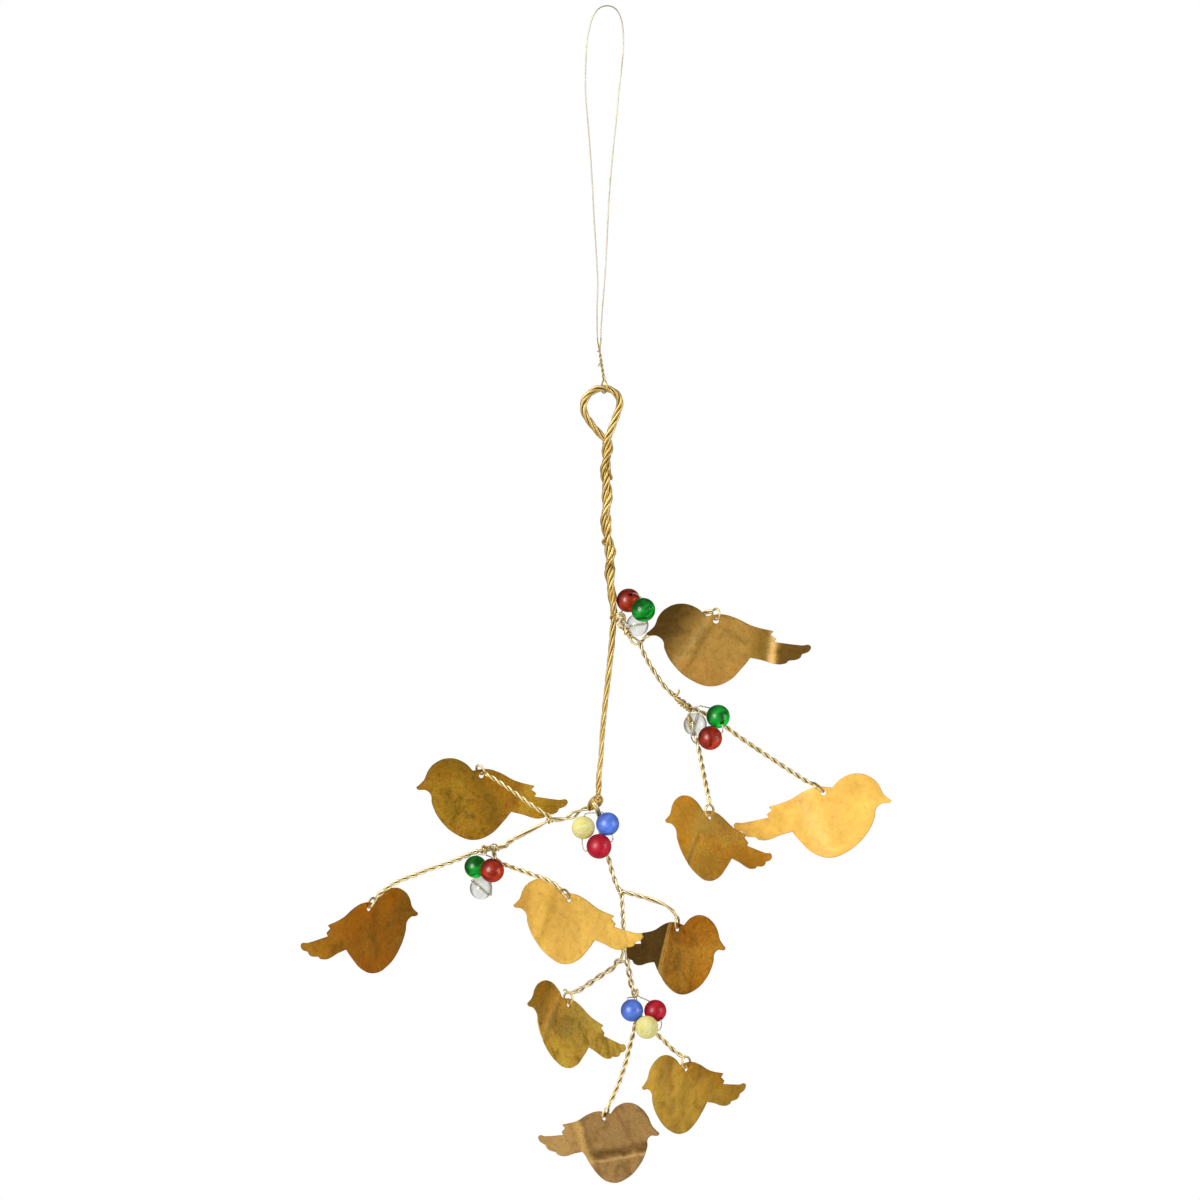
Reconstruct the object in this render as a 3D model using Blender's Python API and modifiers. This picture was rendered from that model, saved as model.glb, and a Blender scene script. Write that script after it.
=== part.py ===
"""Hanging bird ornament: a brass wire mobile with ten sheet-brass birds and
fifteen glass beads.

Metres, +Z up, the front looks towards -Y.  The origin is the top of the
hanging loop, where the hook carries it.
"""
import math

import bpy
from mathutils import Matrix, Vector

# ---------------------------------------------------------------- dimensions
UNIT = 0.00021            # one unit of the layout drawing
MM = 0.001
CENTRE = 600.0            # middle of the layout drawing, both ways
HOOK_U, HOOK_V = 607.0, 5.0   # where the hook sits, in the drawing
EYE_DISTANCE = 1.15       # distance that the layout was drawn from

STRAND_R = 0.00021        # single brass wire
PAIR_R = 0.00042          # two strands twisted together
BRANCH_R = 0.00043
FINE_R = 0.00015          # fine wire: hanging loop
BEAD_WIRE_R = 0.00013     # fine wire inside the beads
EYE_ROPE_R = 0.00064
STEM_TOP_R = 0.00093
STEM_LOW_R = 0.00050

SHEET_T = 0.00025         # sheet brass of the birds
HOLE_R = 0.00060
HOLE_DROP = 0.00018       # the hole's centre hangs this far below the wire

BEAD_HOLE_R = 0.00050

# ---------------------------------------------------------------- scene setup
for old in list(bpy.data.objects):
    bpy.data.objects.remove(old, do_unlink=True)

parts = bpy.data.collections.new("bird_ornament")
bpy.context.scene.collection.children.link(parts)
guides = bpy.data.collections.new("bird_ornament_axes")
bpy.context.scene.collection.children.link(guides)


def material(name, colour, rough, metal, clear=0.0):
    mat = bpy.data.materials.new(name)
    mat.use_nodes = True
    bsdf = mat.node_tree.nodes["Principled BSDF"]
    bsdf.inputs["Base Color"].default_value = (*colour, 1.0)
    bsdf.inputs["Roughness"].default_value = rough
    bsdf.inputs["Metallic"].default_value = metal
    bsdf.inputs["Transmission Weight"].default_value = clear
    return mat


BRASS_WIRE = material("brass_wire", (0.62, 0.42, 0.13), 0.30, 1.0)
FINE_WIRE = material("fine_wire", (0.60, 0.47, 0.24), 0.30, 1.0)
SHEET = {n: material("brass_sheet_%d" % n, (0.46 + 0.02 * (n % 4), 0.28 + 0.015 * (n % 3), 0.07),
                     0.34, 1.0) for n in range(1, 11)}
GLASS = {
    "red": material("red_glass", (0.45, 0.02, 0.03), 0.06, 0.0, 0.7),
    "green": material("green_glass", (0.0, 0.25, 0.05), 0.06, 0.0, 0.7),
    "clear": material("clear_glass", (0.92, 0.94, 0.95), 0.04, 0.0, 1.0),
    "blue": material("blue_glass", (0.08, 0.20, 0.75), 0.18, 0.0),
    "crimson": material("crimson_glass", (0.55, 0.01, 0.05), 0.22, 0.0),
    "yellow": material("yellow_glass", (0.80, 0.76, 0.30), 0.20, 0.0, 0.4),
}


# ---------------------------------------------------------------- layout
def at(u, v, depth=0.0):
    """Drawing units (u right, v down) and depth behind the stem in mm."""
    k = 1.0 + depth * MM / EYE_DISTANCE
    x = ((u - CENTRE) * k + CENTRE - HOOK_U) * UNIT
    z = -((v - CENTRE) * k + CENTRE - HOOK_V) * UNIT
    return Vector((x, depth * MM, z))


def smooth(points, step):
    """Points about a step apart on a smooth curve through the given ones."""
    ends = [points[0] * 2 - points[1]] + list(points) + [points[-1] * 2 - points[-2]]
    out = [points[0].copy()]
    for p0, p1, p2, p3 in zip(ends, ends[1:], ends[2:], ends[3:]):
        n = max(1, round((p2 - p1).length / step))
        for i in range(1, n + 1):
            t = i / n
            out.append(0.5 * (2 * p1 + (p2 - p0) * t
                              + (2 * p0 - 5 * p1 + 4 * p2 - p3) * t * t
                              + (3 * p1 - p0 - 3 * p2 + p3) * t ** 3))
    return out


# the eye slides through the hanger's small loop about this axis
SWING = at(603.2, 405.3)
axis = bpy.data.objects.new("swing_axis", None)
axis.empty_display_size = 0.01
axis.location = SWING
guides.objects.link(axis)


def place(obj, mat, origin, carried=True):
    obj.data.materials.append(mat)
    parts.objects.link(obj)
    if carried:
        obj.parent = axis
        obj.location = origin - SWING
    else:
        obj.location = origin
    return obj


def wire(name, points, radius, mat, origin=None, carried=True, sides=2):
    """Round wire along a line of points; radius is one number or one each."""
    origin = points[0].copy() if origin is None else origin
    curve = bpy.data.curves.new(name, 'CURVE')
    curve.dimensions = '3D'
    curve.bevel_resolution = sides
    curve.use_fill_caps = True
    radii = radius if isinstance(radius, list) else [radius] * len(points)
    curve.bevel_depth = max(radii)
    line = curve.splines.new('POLY')
    line.points.add(len(points) - 1)
    for knot, p, r in zip(line.points, points, radii):
        knot.co = (*(p - origin), 1.0)
        knot.radius = r / curve.bevel_depth
    line.use_smooth = True
    return place(bpy.data.objects.new(name, curve), mat, origin, carried)


def coil(name, start, end, inner, turns, mat, per_turn=8):
    """Wire wound round the line from start to end, clear of what it binds."""
    along = end - start
    t = along.normalized()
    side = t.cross(Vector((0, 1, 0))).normalized()
    back = t.cross(side)
    r = inner + STRAND_R
    points = []
    for i in range(int(turns * per_turn) + 1):
        a = 2 * math.pi * i / per_turn
        f = i / (turns * per_turn)
        points.append(start + along * f + (side * math.cos(a) + back * math.sin(a)) * r)
    return wire(name, points, STRAND_R, mat, origin=(start + end) / 2, sides=1)


# ---------------------------------------------------------------- hanger
loop_route = [(597.6, 341), (597.2, 330), (597, 310), (597.8, 285), (596.8, 260), (594.2, 220),
              (591.8, 175), (588.6, 130), (586, 100), (585.4, 75), (586.6, 46), (589, 30),
              (593.2, 15.5), (599.4, 8), (607, 5.7), (614, 7.6), (619.4, 14), (622.6, 26),
              (623.4, 45), (621.8, 66), (619, 90), (616.4, 118), (612.6, 155), (609.2, 195),
              (607.2, 235), (605.4, 270), (603, 300), (601.6, 320), (600.9, 331), (600.9, 341)]
wire("hanging_loop", smooth([at(u, v) for u, v in loop_route], 0.0030), FINE_R, FINE_WIRE,
     origin=Vector((0, 0, 0)), carried=False, sides=2)

ROPE_TOP = at(604.3, 388.3)
neck = smooth([at(u, v) for u, v in [(599.3, 346), (600.2, 354), (601.4, 363), (602.8, 371), (603.8, 377)]],
              0.0012)
small = []
hang_dir = Vector((0.35, -1.0, 0.0)).normalized()
hang_r = EYE_ROPE_R + 0.00030 + FINE_R
for i in range(13):
    a = math.radians(310 * i / 12)
    small.append(ROPE_TOP + Vector((0, 0, 1)) * (hang_r * math.cos(a)) + hang_dir * (hang_r * math.sin(a)))
wire("hanger_twist", neck + small, [2 * FINE_R] * len(neck) + [FINE_R] * len(small), FINE_WIRE,
     carried=False, sides=1)

# ---------------------------------------------------------------- stem
eye_route = [(609.8, 431.5), (612.4, 426.5), (615.6, 418), (618.4, 410), (619.8, 402.8), (618.4, 397),
             (615.2, 392.6), (610, 389.4), (604.3, 388.3), (596.6, 389.3), (589.6, 393.8),
             (584.8, 400), (583.4, 406.5), (585.2, 414.5), (590, 422), (596, 429.6), (601.6, 436)]
upper_route = [(606.4, 442), (608.6, 447), (607.0, 457), (605.3, 467), (605.0, 475), (606.2, 486),
               (607.2, 496), (606.6, 508), (605.6, 520), (605.6, 530), (607.6, 541), (610.6, 552),
               (610.2, 563), (610.0, 575), (610.3, 587), (612.2, 600), (614.3, 611), (613.8, 620)]
lower_route = [(612.9, 630), (611.4, 648), (609.3, 667), (607, 688), (604.6, 709), (602.4, 733),
               (600.9, 757), (599, 774), (598.8, 786), (598.2, 795)]
route = [at(u, v) for u, v in eye_route + upper_route + lower_route]
radii = ([EYE_ROPE_R] * (len(eye_route) - 1) + [0.00074, 0.00086] + [STEM_TOP_R] * (len(upper_route) - 3)
         + [0.00085, 0.00070] + [0.00056] + [STEM_LOW_R] * (len(lower_route) - 1))
wire("main_stem", route, radii, BRASS_WIRE, origin=SWING)

# ---------------------------------------------------------------- branches
right = [(622.6, 624.5, 0), (627, 632, 0), (633, 638.6, 0), (639.5, 643, 0), (644, 654, 0), (650, 665, 0),
         (656, 674.5, 0), (662.5, 684, 0), (669, 691, 0), (675, 697, 0), (682, 703.5, 0), (690, 709.5, 0)]
wire("right_branch", smooth([at(*p) for p in right], 0.0030), BRANCH_R, BRASS_WIRE, sides=1)

left = [(588.6, 808, -0.6), (582, 809.8, -1.0), (575, 814, -1.5), (567, 818.4, -2.0), (558, 819.6, -2.8),
        (550.8, 819, -3.3), (544, 823.4, -3.3), (529, 831, -3.1), (513.3, 839.5, -2.9), (500, 847.6, -2.7),
        (487, 849, -2.6)]
wire("left_branch", smooth([at(*p) for p in left], 0.0030), BRANCH_R, BRASS_WIRE, sides=1)

centre = [(597.6, 814.5, 0.6), (600.4, 830, 0.8), (604.6, 846, 0.8), (608, 857, 0.6), (613, 875, 0.4),
          (616.6, 885, 0.2), (621, 893, 0), (622.3, 903, 0), (623, 920, 0), (624, 940, 0), (624.4, 956, 0)]
wire("centre_branch", smooth([at(*p) for p in centre], 0.0032), BRANCH_R, BRASS_WIRE, sides=1)

lower = [(628.6, 964, 0.3), (630.2, 974, 0.5), (632.7, 986, 0.8), (634.8, 996, 0.8), (636.4, 1007, 0.8),
         (636.2, 1017, 0.8)]
wire("lower_branch", smooth([at(*p) for p in lower], 0.0028), BRANCH_R, BRASS_WIRE, sides=1)

# turns of wire that bind the branches to each other
coil("stem_knot", at(597.4, 799.6), at(592.6, 806.6), 0.00040, 3, BRASS_WIRE)
coil("right_knot", at(672.5, 694.5), at(683.5, 705), BRANCH_R + 0.00028, 3, BRASS_WIRE)
coil("left_knot", at(502.5, 846.2, -2.74), at(490.5, 848.8, -2.62), BRANCH_R + 0.00028, 3, BRASS_WIRE)
coil("right_wrap", at(623.2, 625.4), at(628.4, 634.2), BRANCH_R + 0.00028, 2, BRASS_WIRE)

# ---------------------------------------------------------------- birds
# outline in drawing units from the hole's centre: tail +, up +.
# True marks a sharp corner.
OUTLINE = [
    (-68.8, -13.0, False), (-66.0, -10.0, False), (-61.4, -5.4, False), (-57.0, 4.6, False),
    (-50.0, 12.0, False), (-36.0, 17.0, False), (-20.0, 13.2, False), (-9.6, 4.6, True),
    (5.8, 6.4, False), (19.0, 3.0, False), (37.0, -5.4, False), (57.6, -10.4, True),
    (54.4, -14.0, True), (59.8, -17.9, True), (58.2, -21.2, True), (85.0, -24.6, False),
    (94.0, -25.2, False), (93.4, -29.6, False), (85.6, -33.6, True), (83.2, -37.4, False),
    (72.2, -40.0, True), (69.6, -42.6, True), (62.0, -43.6, False), (45.0, -39.2, False),
    (34.2, -37.0, True), (26.6, -46.4, False), (12.4, -60.0, False), (-4.4, -65.4, False),
    (-20.8, -61.2, False), (-40.4, -46.4, False), (-51.2, -28.4, False), (-52.8, -20.2, False),
    (-58.4, -15.4, False),
]

UP = Vector((0, 0, 1))


def facing(side, yaw):
    """Tail direction of a bird: side -1 has its head to the left."""
    a = math.radians(yaw)
    return Vector((-side * math.cos(a), math.sin(a), 0.0))


def bird(n, hole, side, yaw, tilt, lean):
    """Flat bird, its origin on the wire through its hole, Z out of the sheet."""
    tail = facing(side, yaw)
    top = Matrix.Rotation(math.radians(lean), 3, tail) @ UP
    normal = tail.cross(top)
    name = "bird_%d" % n
    curve = bpy.data.curves.new(name, 'CURVE')
    curve.dimensions = '2D'
    curve.fill_mode = 'BOTH'
    curve.extrude = SHEET_T / 2
    curve.resolution_u = 2
    rim = curve.splines.new('BEZIER')
    rim.bezier_points.add(len(OUTLINE) - 1)
    rim.resolution_u = 2
    for knot, (a, b, sharp) in zip(rim.bezier_points, OUTLINE):
        knot.co = (a * UNIT, b * UNIT - HOLE_DROP, 0)
        knot.handle_left_type = knot.handle_right_type = 'VECTOR' if sharp else 'AUTO'
    rim.use_cyclic_u = True
    punched = curve.splines.new('POLY')
    punched.points.add(9)
    for i, knot in enumerate(punched.points):
        a = 2 * math.pi * (i + 0.5) / 10
        knot.co = (HOLE_R * math.cos(a), HOLE_R * math.sin(a) - HOLE_DROP, 0, 1)
    punched.use_cyclic_u = True
    obj = place(bpy.data.objects.new(name, curve), SHEET[n], hole)
    turn = Matrix((tail, top, normal)).transposed().to_4x4() @ Matrix.Rotation(math.radians(-tilt), 4, 'Z')
    obj.rotation_mode = 'QUATERNION'
    obj.rotation_quaternion = turn.to_quaternion()
    return obj


def bird_wire(n, hole, look, tip, ring, first, sweep, path):
    """Twisted pair that opens into one fold of wire through the bird's hole.

    look turns the fold's plane: 0 shows it edge on from the front.  tip leans
    the fold in the sheet's plane, + to the right, and ring is its radius in mm.
    first is the angle on the fold where the pair arrives, from the top, + in front.
    """
    a = math.radians(look)
    front = Vector((math.sin(a), -math.cos(a), 0.0))
    b = math.radians(tip)
    rise = UP * math.cos(b) + Vector((math.cos(a), math.sin(a), 0.0)) * math.sin(b)
    ring = ring * MM
    centre = hole + rise * ring
    fold = []
    steps = 13
    for i in range(steps + 1):
        b = math.radians(first + sweep * i / steps)
        fold.append(centre + rise * (ring * math.cos(b)) + front * (ring * math.sin(b)))
    stem = smooth([at(*p) for p in path], 0.0040)
    return wire("bird_%d_wire" % n, stem + fold, [PAIR_R] * (len(stem) - 1) + [0.00034]
                + [STRAND_R] * len(fold), BRASS_WIRE, sides=1)


BIRDS = {
    # number: hole, head side (-1 left, 1 right), yaw, tilt in its plane, lean out of it
    1: ((716.0, 619.8, -6.5), -1, 3.0, 0.0, 0.0),
    2: ((709.4, 816.0, -6.0), -1, -53.0, 6.0, 6.0),
    3: ((823.4, 791.8, 7.0), 1, 16.0, 4.5, 0.0),
    4: ((481.5, 774.4, 1.0), -1, 22.0, 1.0, 7.0),
    5: ((368.7, 907.6, -5.0), 1, -48.5, 4.0, -2.0),
    6: ((568.8, 898.6, -6.5), -1, -39.0, 4.0, 3.0),
    7: ((677.2, 928.0, -2.0), 1, 46.5, -3.0, -3.0),
    8: ((568.0, 1003.6, -4.0), -1, 55.0, 14.5, -11.0),
    9: ((686.2, 1067.8, 4.0), -1, -51.5, -9.5, -10.5),
    10: ((603.6, 1117.0, -5.0), 1, 41.0, 0.5, -10.0),
}
BIRD_WIRES = {
    # number: fold's look, tip and radius, arrival angle, sweep, route of the pair
    1: (40, 0, 1.15, -60, 310, [(645.6, 637.2, 0.2), (651, 632.6, -0.4), (664, 627.4, -1.6), (684, 620.8, -3.4),
                                (698, 615.8, -4.6), (706.4, 612.4, -5.2)]),
    2: (-49, 0, 1.15, 0, 310, [(689.4, 716.4, 1.4), (692.4, 725, 1.5), (695.2, 735, 1.4), (698, 745, 0.8),
                               (701.4, 762, -1.0), (705.4, 782, -3.4), (708.6, 797.6, -5.6)]),
    3: (-16, -50, 1.36, 35, -310, [(696.4, 709.6, 1.2), (706, 714.4, 1.9), (716, 720.4, 2.1), (725, 726.4, 2.2),
                                   (745, 741, 2.8), (778, 763, 4.0), (798, 776, 4.9), (805, 780.4, 5.3),
                                   (809.6, 782.8, 5.8)]),
    4: (45, -23, 1.05, 115, -310, [(545.4, 813.6, -4.4), (533, 806, -4.2), (516, 793.6, -3.2), (499.4, 782, -1.9),
                                   (491, 776.8, -1.2), (487.6, 775, -0.9)]),
    5: (30, 30, 1.16, 60, -310, [(474.4, 852.2, -2.6), (453.6, 861, -3.2), (430.6, 869, -4.2), (415, 875, -4.9),
                                 (400, 880.6, -5.6), (387, 888, -6.2), (378.6, 895.4, -6.2)]),
    6: (-30, -34, 1.12, 50, -310, [(494, 853.4, -0.6), (496.6, 859.6, -1.2), (501.6, 863.2, -2.2), (508, 865.8, -3.2),
                                   (519.4, 870, -4.5), (531.6, 874.4, -5.6),
                                   (544, 878.6, -6.7), (554, 883.8, -7.4), (559.6, 888.4, -7.6)]),
    7: (-20, 0, 1.15, 20, -310, [(628.4, 893.2, -0.2), (637, 895.4, -0.6), (652.5, 900, -1.6), (664, 904.6, -2.4),
                                 (671.6, 910, -2.7)]),
    8: (51, 0, 1.15, 30, -310, [(618.6, 963.4, -0.5), (606, 971.4, -1.4), (593, 981, -2.6), (583, 987.8, -3.7),
                                (577.6, 990.8, -4.2)]),
    9: (-49, 0, 1.15, 20, -310, [(642.4, 1018.6, 1.4), (648.6, 1027, 1.8), (656.9, 1034.4, 2.3), (664, 1041, 2.7),
                                 (672.5, 1049.4, 3.2), (678.4, 1054, 3.4)]),
    10: (-30, 27, 1.06, 0, 310, [(635.2, 1024.6, 0.6), (633.4, 1033, 0.2), (630, 1046, -0.8), (625.6, 1063, -2.2),
                                 (619.6, 1081, -3.6), (613.4, 1096, -4.7), (609.8, 1103.4, -5.3)]),
}
for n, (spot, side, yaw, tilt, lean) in BIRDS.items():
    bird(n, at(*spot), side, yaw, tilt, lean)
    bird_wire(n, at(*spot), *BIRD_WIRES[n])


# ---------------------------------------------------------------- beads
def bead(name, centre, direction, radius, mat, steps=10, rings=3):
    """Drilled bead: half section turned round the hole, Z along the hole."""
    mesh = bpy.data.meshes.new(name)
    top = math.acos(BEAD_HOLE_R / radius)
    section = [(BEAD_HOLE_R, radius * math.sin(top))]
    for i in range(1, 2 * rings):
        a = top - 2 * top * i / (2 * rings)
        section.append((radius * math.cos(a), radius * math.sin(a)))
    section.append((BEAD_HOLE_R, -radius * math.sin(top)))
    edges = [(i, (i + 1) % len(section)) for i in range(len(section))]
    mesh.from_pydata([(x, 0.0, z) for x, z in section], edges, [])
    obj = place(bpy.data.objects.new(name, mesh), mat, centre)
    turned = obj.modifiers.new("turned", 'SCREW')
    turned.axis = 'Z'
    turned.angle = 2 * math.pi
    turned.steps = turned.render_steps = steps
    turned.use_merge_vertices = True
    turned.merge_threshold = 0.00001
    turned.use_smooth_shade = True
    obj.rotation_mode = 'QUATERNION'
    obj.rotation_quaternion = direction.to_track_quat('Z', 'Y')
    return obj


CLUSTERS = {
    # number: knot, then the beads in the order that the wire threads them
    1: ((620.8, 612.6, 1.9), [("red", 628.5, 600.4, 1.3, 11.6), ("green", 643.3, 609.8, -2.5, 11.6),
                              ("clear", 637.4, 624.9, 2.6, 10.8)]),
    2: ((696.6, 707.0, -1.2), [("clear", 695.2, 724.5, -1.8, 11.2), ("red", 710.1, 738.0, -4.7, 11.6),
                               ("green", 718.1, 716.5, -1.8, 11.4)]),
    3: ((484.0, 854.6, -3.9), [("green", 475.6, 866.8, -2.6, 10.8), ("clear", 481.1, 888.1, -1.4, 10.8),
                               ("red", 492.1, 870.4, -6.1, 11.6)]),
    4: ((596.4, 812.4, -1.9), [("yellow", 583.3, 827.6, -2.9, 11.1), ("crimson", 599.0, 846.3, -3.6, 12.0),
                               ("blue", 607.6, 823.9, -2.5, 11.2)]),
    5: ((636.6, 997.0, -1.4), [("blue", 631.9, 1010.4, -2.5, 10.8), ("yellow", 646.8, 1027.3, -5.3, 11.1),
                               ("crimson", 655.3, 1010.8, -2.2, 10.8)]),
}


# the way of each bead's hole, where it isn't that from the bead before to the next
HOLES = {
    (1, "red"): (0.21, -0.82, 0.53), (1, "green"): (0.17, 0.39, -0.905),
    (2, "clear"): (-0.30, 0.10, -0.95), (2, "red"): (0.905, 0.17, 0.39), (2, "green"): (-0.28, 0.77, 0.57),
    (3, "clear"): (0.80, 0.0, -0.60),
    (4, "yellow"): (-0.10, 0.10, -1.0), (4, "crimson"): (0.93, 0.10, 0.35), (4, "blue"): (-0.36, 0.30, 0.88),
    (5, "blue"): (0.37, -0.20, -0.90), (5, "yellow"): (0.95, 0.10, -0.25), (5, "crimson"): (-0.435, 0.537, 0.722),
}


def bow(p, dp, q, dq, count):
    """Points on the bow of wire from p, leaving along dp, to q, arriving along dq."""
    out = []
    for i in range(1, count + 1):
        t = i / (count + 1)
        s = 1 - t
        out.append(p * s ** 3 + (p + dp) * (3 * s * s * t) + (q - dq) * (3 * s * t * t) + q * t ** 3)
    return out


for c, (knot, beads) in CLUSTERS.items():
    start = at(*knot)
    spots = [at(u, v, d) for _, u, v, d, _ in beads]
    chain = [start] + spots + [start]
    through = [Vector(HOLES.get((c, b[0]), chain[k + 2] - chain[k])).normalized() for k, b in enumerate(beads)]
    line, leave = [start], Vector()
    for k, ((kind, _, _, _, r), spot, t) in enumerate(zip(beads, spots, through)):
        radius = r * UNIT
        bead("bead_%d_%s" % (c, kind), spot, t, radius, GLASS[kind])
        out = t * (radius + 0.00022)
        reach = t * 0.0006
        if k == 0:
            line += bow(start, (spot - out - start) * 0.2, spot - out, reach * 0.5, 2)
        else:
            line += bow(line[-1], leave, spot - out, reach, 3)
        line += [spot - out, spot, spot + out]
        leave = reach
    finish = start + (spots[2] - spots[0]).normalized() * 0.0007
    line += bow(line[-1], leave * 0.5, finish, (finish - line[-1]) * 0.2, 2)
    line.append(finish)
    wire("bead_wire_%d" % c, line, BEAD_WIRE_R, FINE_WIRE, sides=1)
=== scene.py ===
"""Looks of the hanging bird ornament: twisted brass wire, cut brass birds and
drilled glass beads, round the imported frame."""
import math

import bmesh
import bpy
import numpy as np
from mathutils import Matrix, Vector, noise


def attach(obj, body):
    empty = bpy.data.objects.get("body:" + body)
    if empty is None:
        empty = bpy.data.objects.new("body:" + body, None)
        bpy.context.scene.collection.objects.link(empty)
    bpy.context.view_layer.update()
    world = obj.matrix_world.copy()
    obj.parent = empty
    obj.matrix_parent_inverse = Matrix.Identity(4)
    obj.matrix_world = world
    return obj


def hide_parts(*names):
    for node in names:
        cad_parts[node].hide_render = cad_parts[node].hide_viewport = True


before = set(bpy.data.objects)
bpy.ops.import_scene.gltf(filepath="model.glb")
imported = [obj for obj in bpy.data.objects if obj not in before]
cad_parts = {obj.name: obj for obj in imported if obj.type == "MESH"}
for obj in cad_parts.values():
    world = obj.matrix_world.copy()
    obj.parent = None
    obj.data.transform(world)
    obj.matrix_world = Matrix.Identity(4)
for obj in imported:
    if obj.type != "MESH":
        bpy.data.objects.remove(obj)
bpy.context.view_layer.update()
scene = bpy.context.scene
rng = np.random.default_rng(7)

# ------------------------------------------------------------------ layout
UNIT = 0.00021
MM = 0.001
HOOK_U, HOOK_V = 607.0, 5.0
VIEW_DISTANCE = 1.15
STRAND = 0.000250         # radius of one brass wire
FINE = 0.00015            # radius of the fine wire
UP = Vector((0, 0, 1))


def at(u, v, depth=0.0):
    """Layout units (u right, v down) and depth behind the stem in mm."""
    k = 1.0 + depth * MM / VIEW_DISTANCE
    return Vector((((u - 600.0) * k + 600.0 - HOOK_U) * UNIT, depth * MM,
                   -((v - 600.0) * k + 600.0 - HOOK_V) * UNIT))


def route(points, step):
    """Evenly spaced points on a smooth curve through the given ones."""
    pts = [p if isinstance(p, Vector) else at(*p) for p in points]
    ends = [pts[0] * 2 - pts[1]] + pts + [pts[-1] * 2 - pts[-2]]
    fine = []
    for p0, p1, p2, p3 in zip(ends, ends[1:], ends[2:], ends[3:]):
        n = max(4, int((p2 - p1).length / step * 3))
        for i in range(n):
            t = i / n
            fine.append(0.5 * (2 * p1 + (p2 - p0) * t + (2 * p0 - 5 * p1 + 4 * p2 - p3) * t * t
                               + (3 * p1 - p0 - 3 * p2 + p3) * t ** 3))
    fine.append(pts[-1])
    a = np.array([p[:] for p in fine])
    s = np.concatenate([[0], np.cumsum(np.linalg.norm(np.diff(a, axis=0), axis=1))])
    n = max(3, int(round(s[-1] / step)) + 1)
    q = np.linspace(0, s[-1], n)
    return np.stack([np.interp(q, s, a[:, i]) for i in range(3)], 1)


def arc(points):
    return np.concatenate([[0], np.cumsum(np.linalg.norm(np.diff(points, axis=0), axis=1))])


def frames(points):
    """Tangents and two side directions that don't spin about the line."""
    t = np.gradient(points, axis=0)
    t /= np.linalg.norm(t, axis=1)[:, None]
    ref = np.array([0.0, -1.0, 0.0])
    if abs(t[0] @ ref) > 0.9:
        ref = np.array([1.0, 0.0, 0.0])
    n = ref - t[0] * (ref @ t[0])
    n /= np.linalg.norm(n)
    side = [n]
    for i in range(1, len(points)):
        n = side[-1] - t[i] * (side[-1] @ t[i])
        n /= np.linalg.norm(n)
        side.append(n)
    side = np.array(side)
    return t, side, np.cross(t, side)


WIRES, BEADS = [], []


class Shape:
    """Gathers tubes into one mesh."""

    def __init__(self):
        self.verts, self.faces, self.groove, self.count = [], [], [], 0

    def tube(self, points, radius, sides=10, cut=0.35, axis=None):
        """Round wire along points; axis is the line it winds round, point for point."""
        points = np.asarray(points, float)
        keep = np.concatenate([[True], np.linalg.norm(np.diff(points, axis=0), axis=1) > 1e-7])
        radius = np.full(len(points), radius) if np.isscalar(radius) else np.asarray(radius)
        inward = np.zeros_like(points) if axis is None else np.asarray(axis) - points
        inward = inward / np.maximum(np.linalg.norm(inward, axis=1), 1e-9)[:, None]
        points, radius, inward = points[keep], radius[keep], inward[keep]
        t, n, b = frames(points)
        # a small chamfer on both cut ends
        r0, r1 = radius[0], radius[-1]
        points = np.vstack([points[:1], points[:1] + t[:1] * r0 * cut, points[1:-1],
                            points[-1:] - t[-1:] * r1 * cut, points[-1:]])
        radius = np.concatenate([[r0 * (1 - cut)], [r0], radius[1:-1], [r1], [r1 * (1 - cut)]])
        n = np.vstack([n[:1], n[:1], n[1:-1], n[-1:], n[-1:]])
        b = np.vstack([b[:1], b[:1], b[1:-1], b[-1:], b[-1:]])
        inward = np.vstack([inward[:1], inward[:1], inward[1:-1], inward[-1:], inward[-1:]])
        a = np.arange(sides) * 2 * math.pi / sides
        out = np.cos(a)[None, :, None] * n[:, None] + np.sin(a)[None, :, None] * b[:, None]
        ring = points[:, None] + radius[:, None, None] * out
        m = len(points)
        base = self.count
        self.verts.append(ring.reshape(-1, 3))
        # how far each point faces the line the wire winds round, kept as the groove attribute for the painted groove
        # shade
        self.groove.append((out * inward[:, None]).sum(2).reshape(-1))
        for i in range(m - 1):
            for j in range(sides):
                k = (j + 1) % sides
                self.faces.append((base + i * sides + j, base + (i + 1) * sides + j,
                                   base + (i + 1) * sides + k, base + i * sides + k)[::-1])
        self.faces.append(tuple(base + j for j in range(sides)))
        self.faces.append(tuple(base + (m - 1) * sides + j for j in range(sides))[::-1])
        self.count += m * sides

    def make(self, name, mat, body, nodes=()):
        """Finishes the gathered tubes as one piece."""
        mesh = bpy.data.meshes.new(name)
        mesh.from_pydata(np.vstack(self.verts).tolist(), [], self.faces)
        mesh.validate()
        att = mesh.attributes.new("groove", 'FLOAT', 'POINT')
        att.data.foreach_set("value", np.concatenate(self.groove).astype(np.float32))
        mesh.materials.append(mat)
        mesh.shade_smooth()
        mesh.set_sharp_from_angle(angle=math.radians(50))
        obj = bpy.data.objects.new(name, mesh)
        scene.collection.objects.link(obj)
        WIRES.append(obj)
        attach(obj, body)
        if nodes:
            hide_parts(*nodes)
        return obj


def wobble(s, scale, seed):
    """Smooth noise along a length, about -1 to 1."""
    return np.array([noise.noise(Vector((x / scale, seed * 7.31, seed * 3.17))) for x in s])


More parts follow.
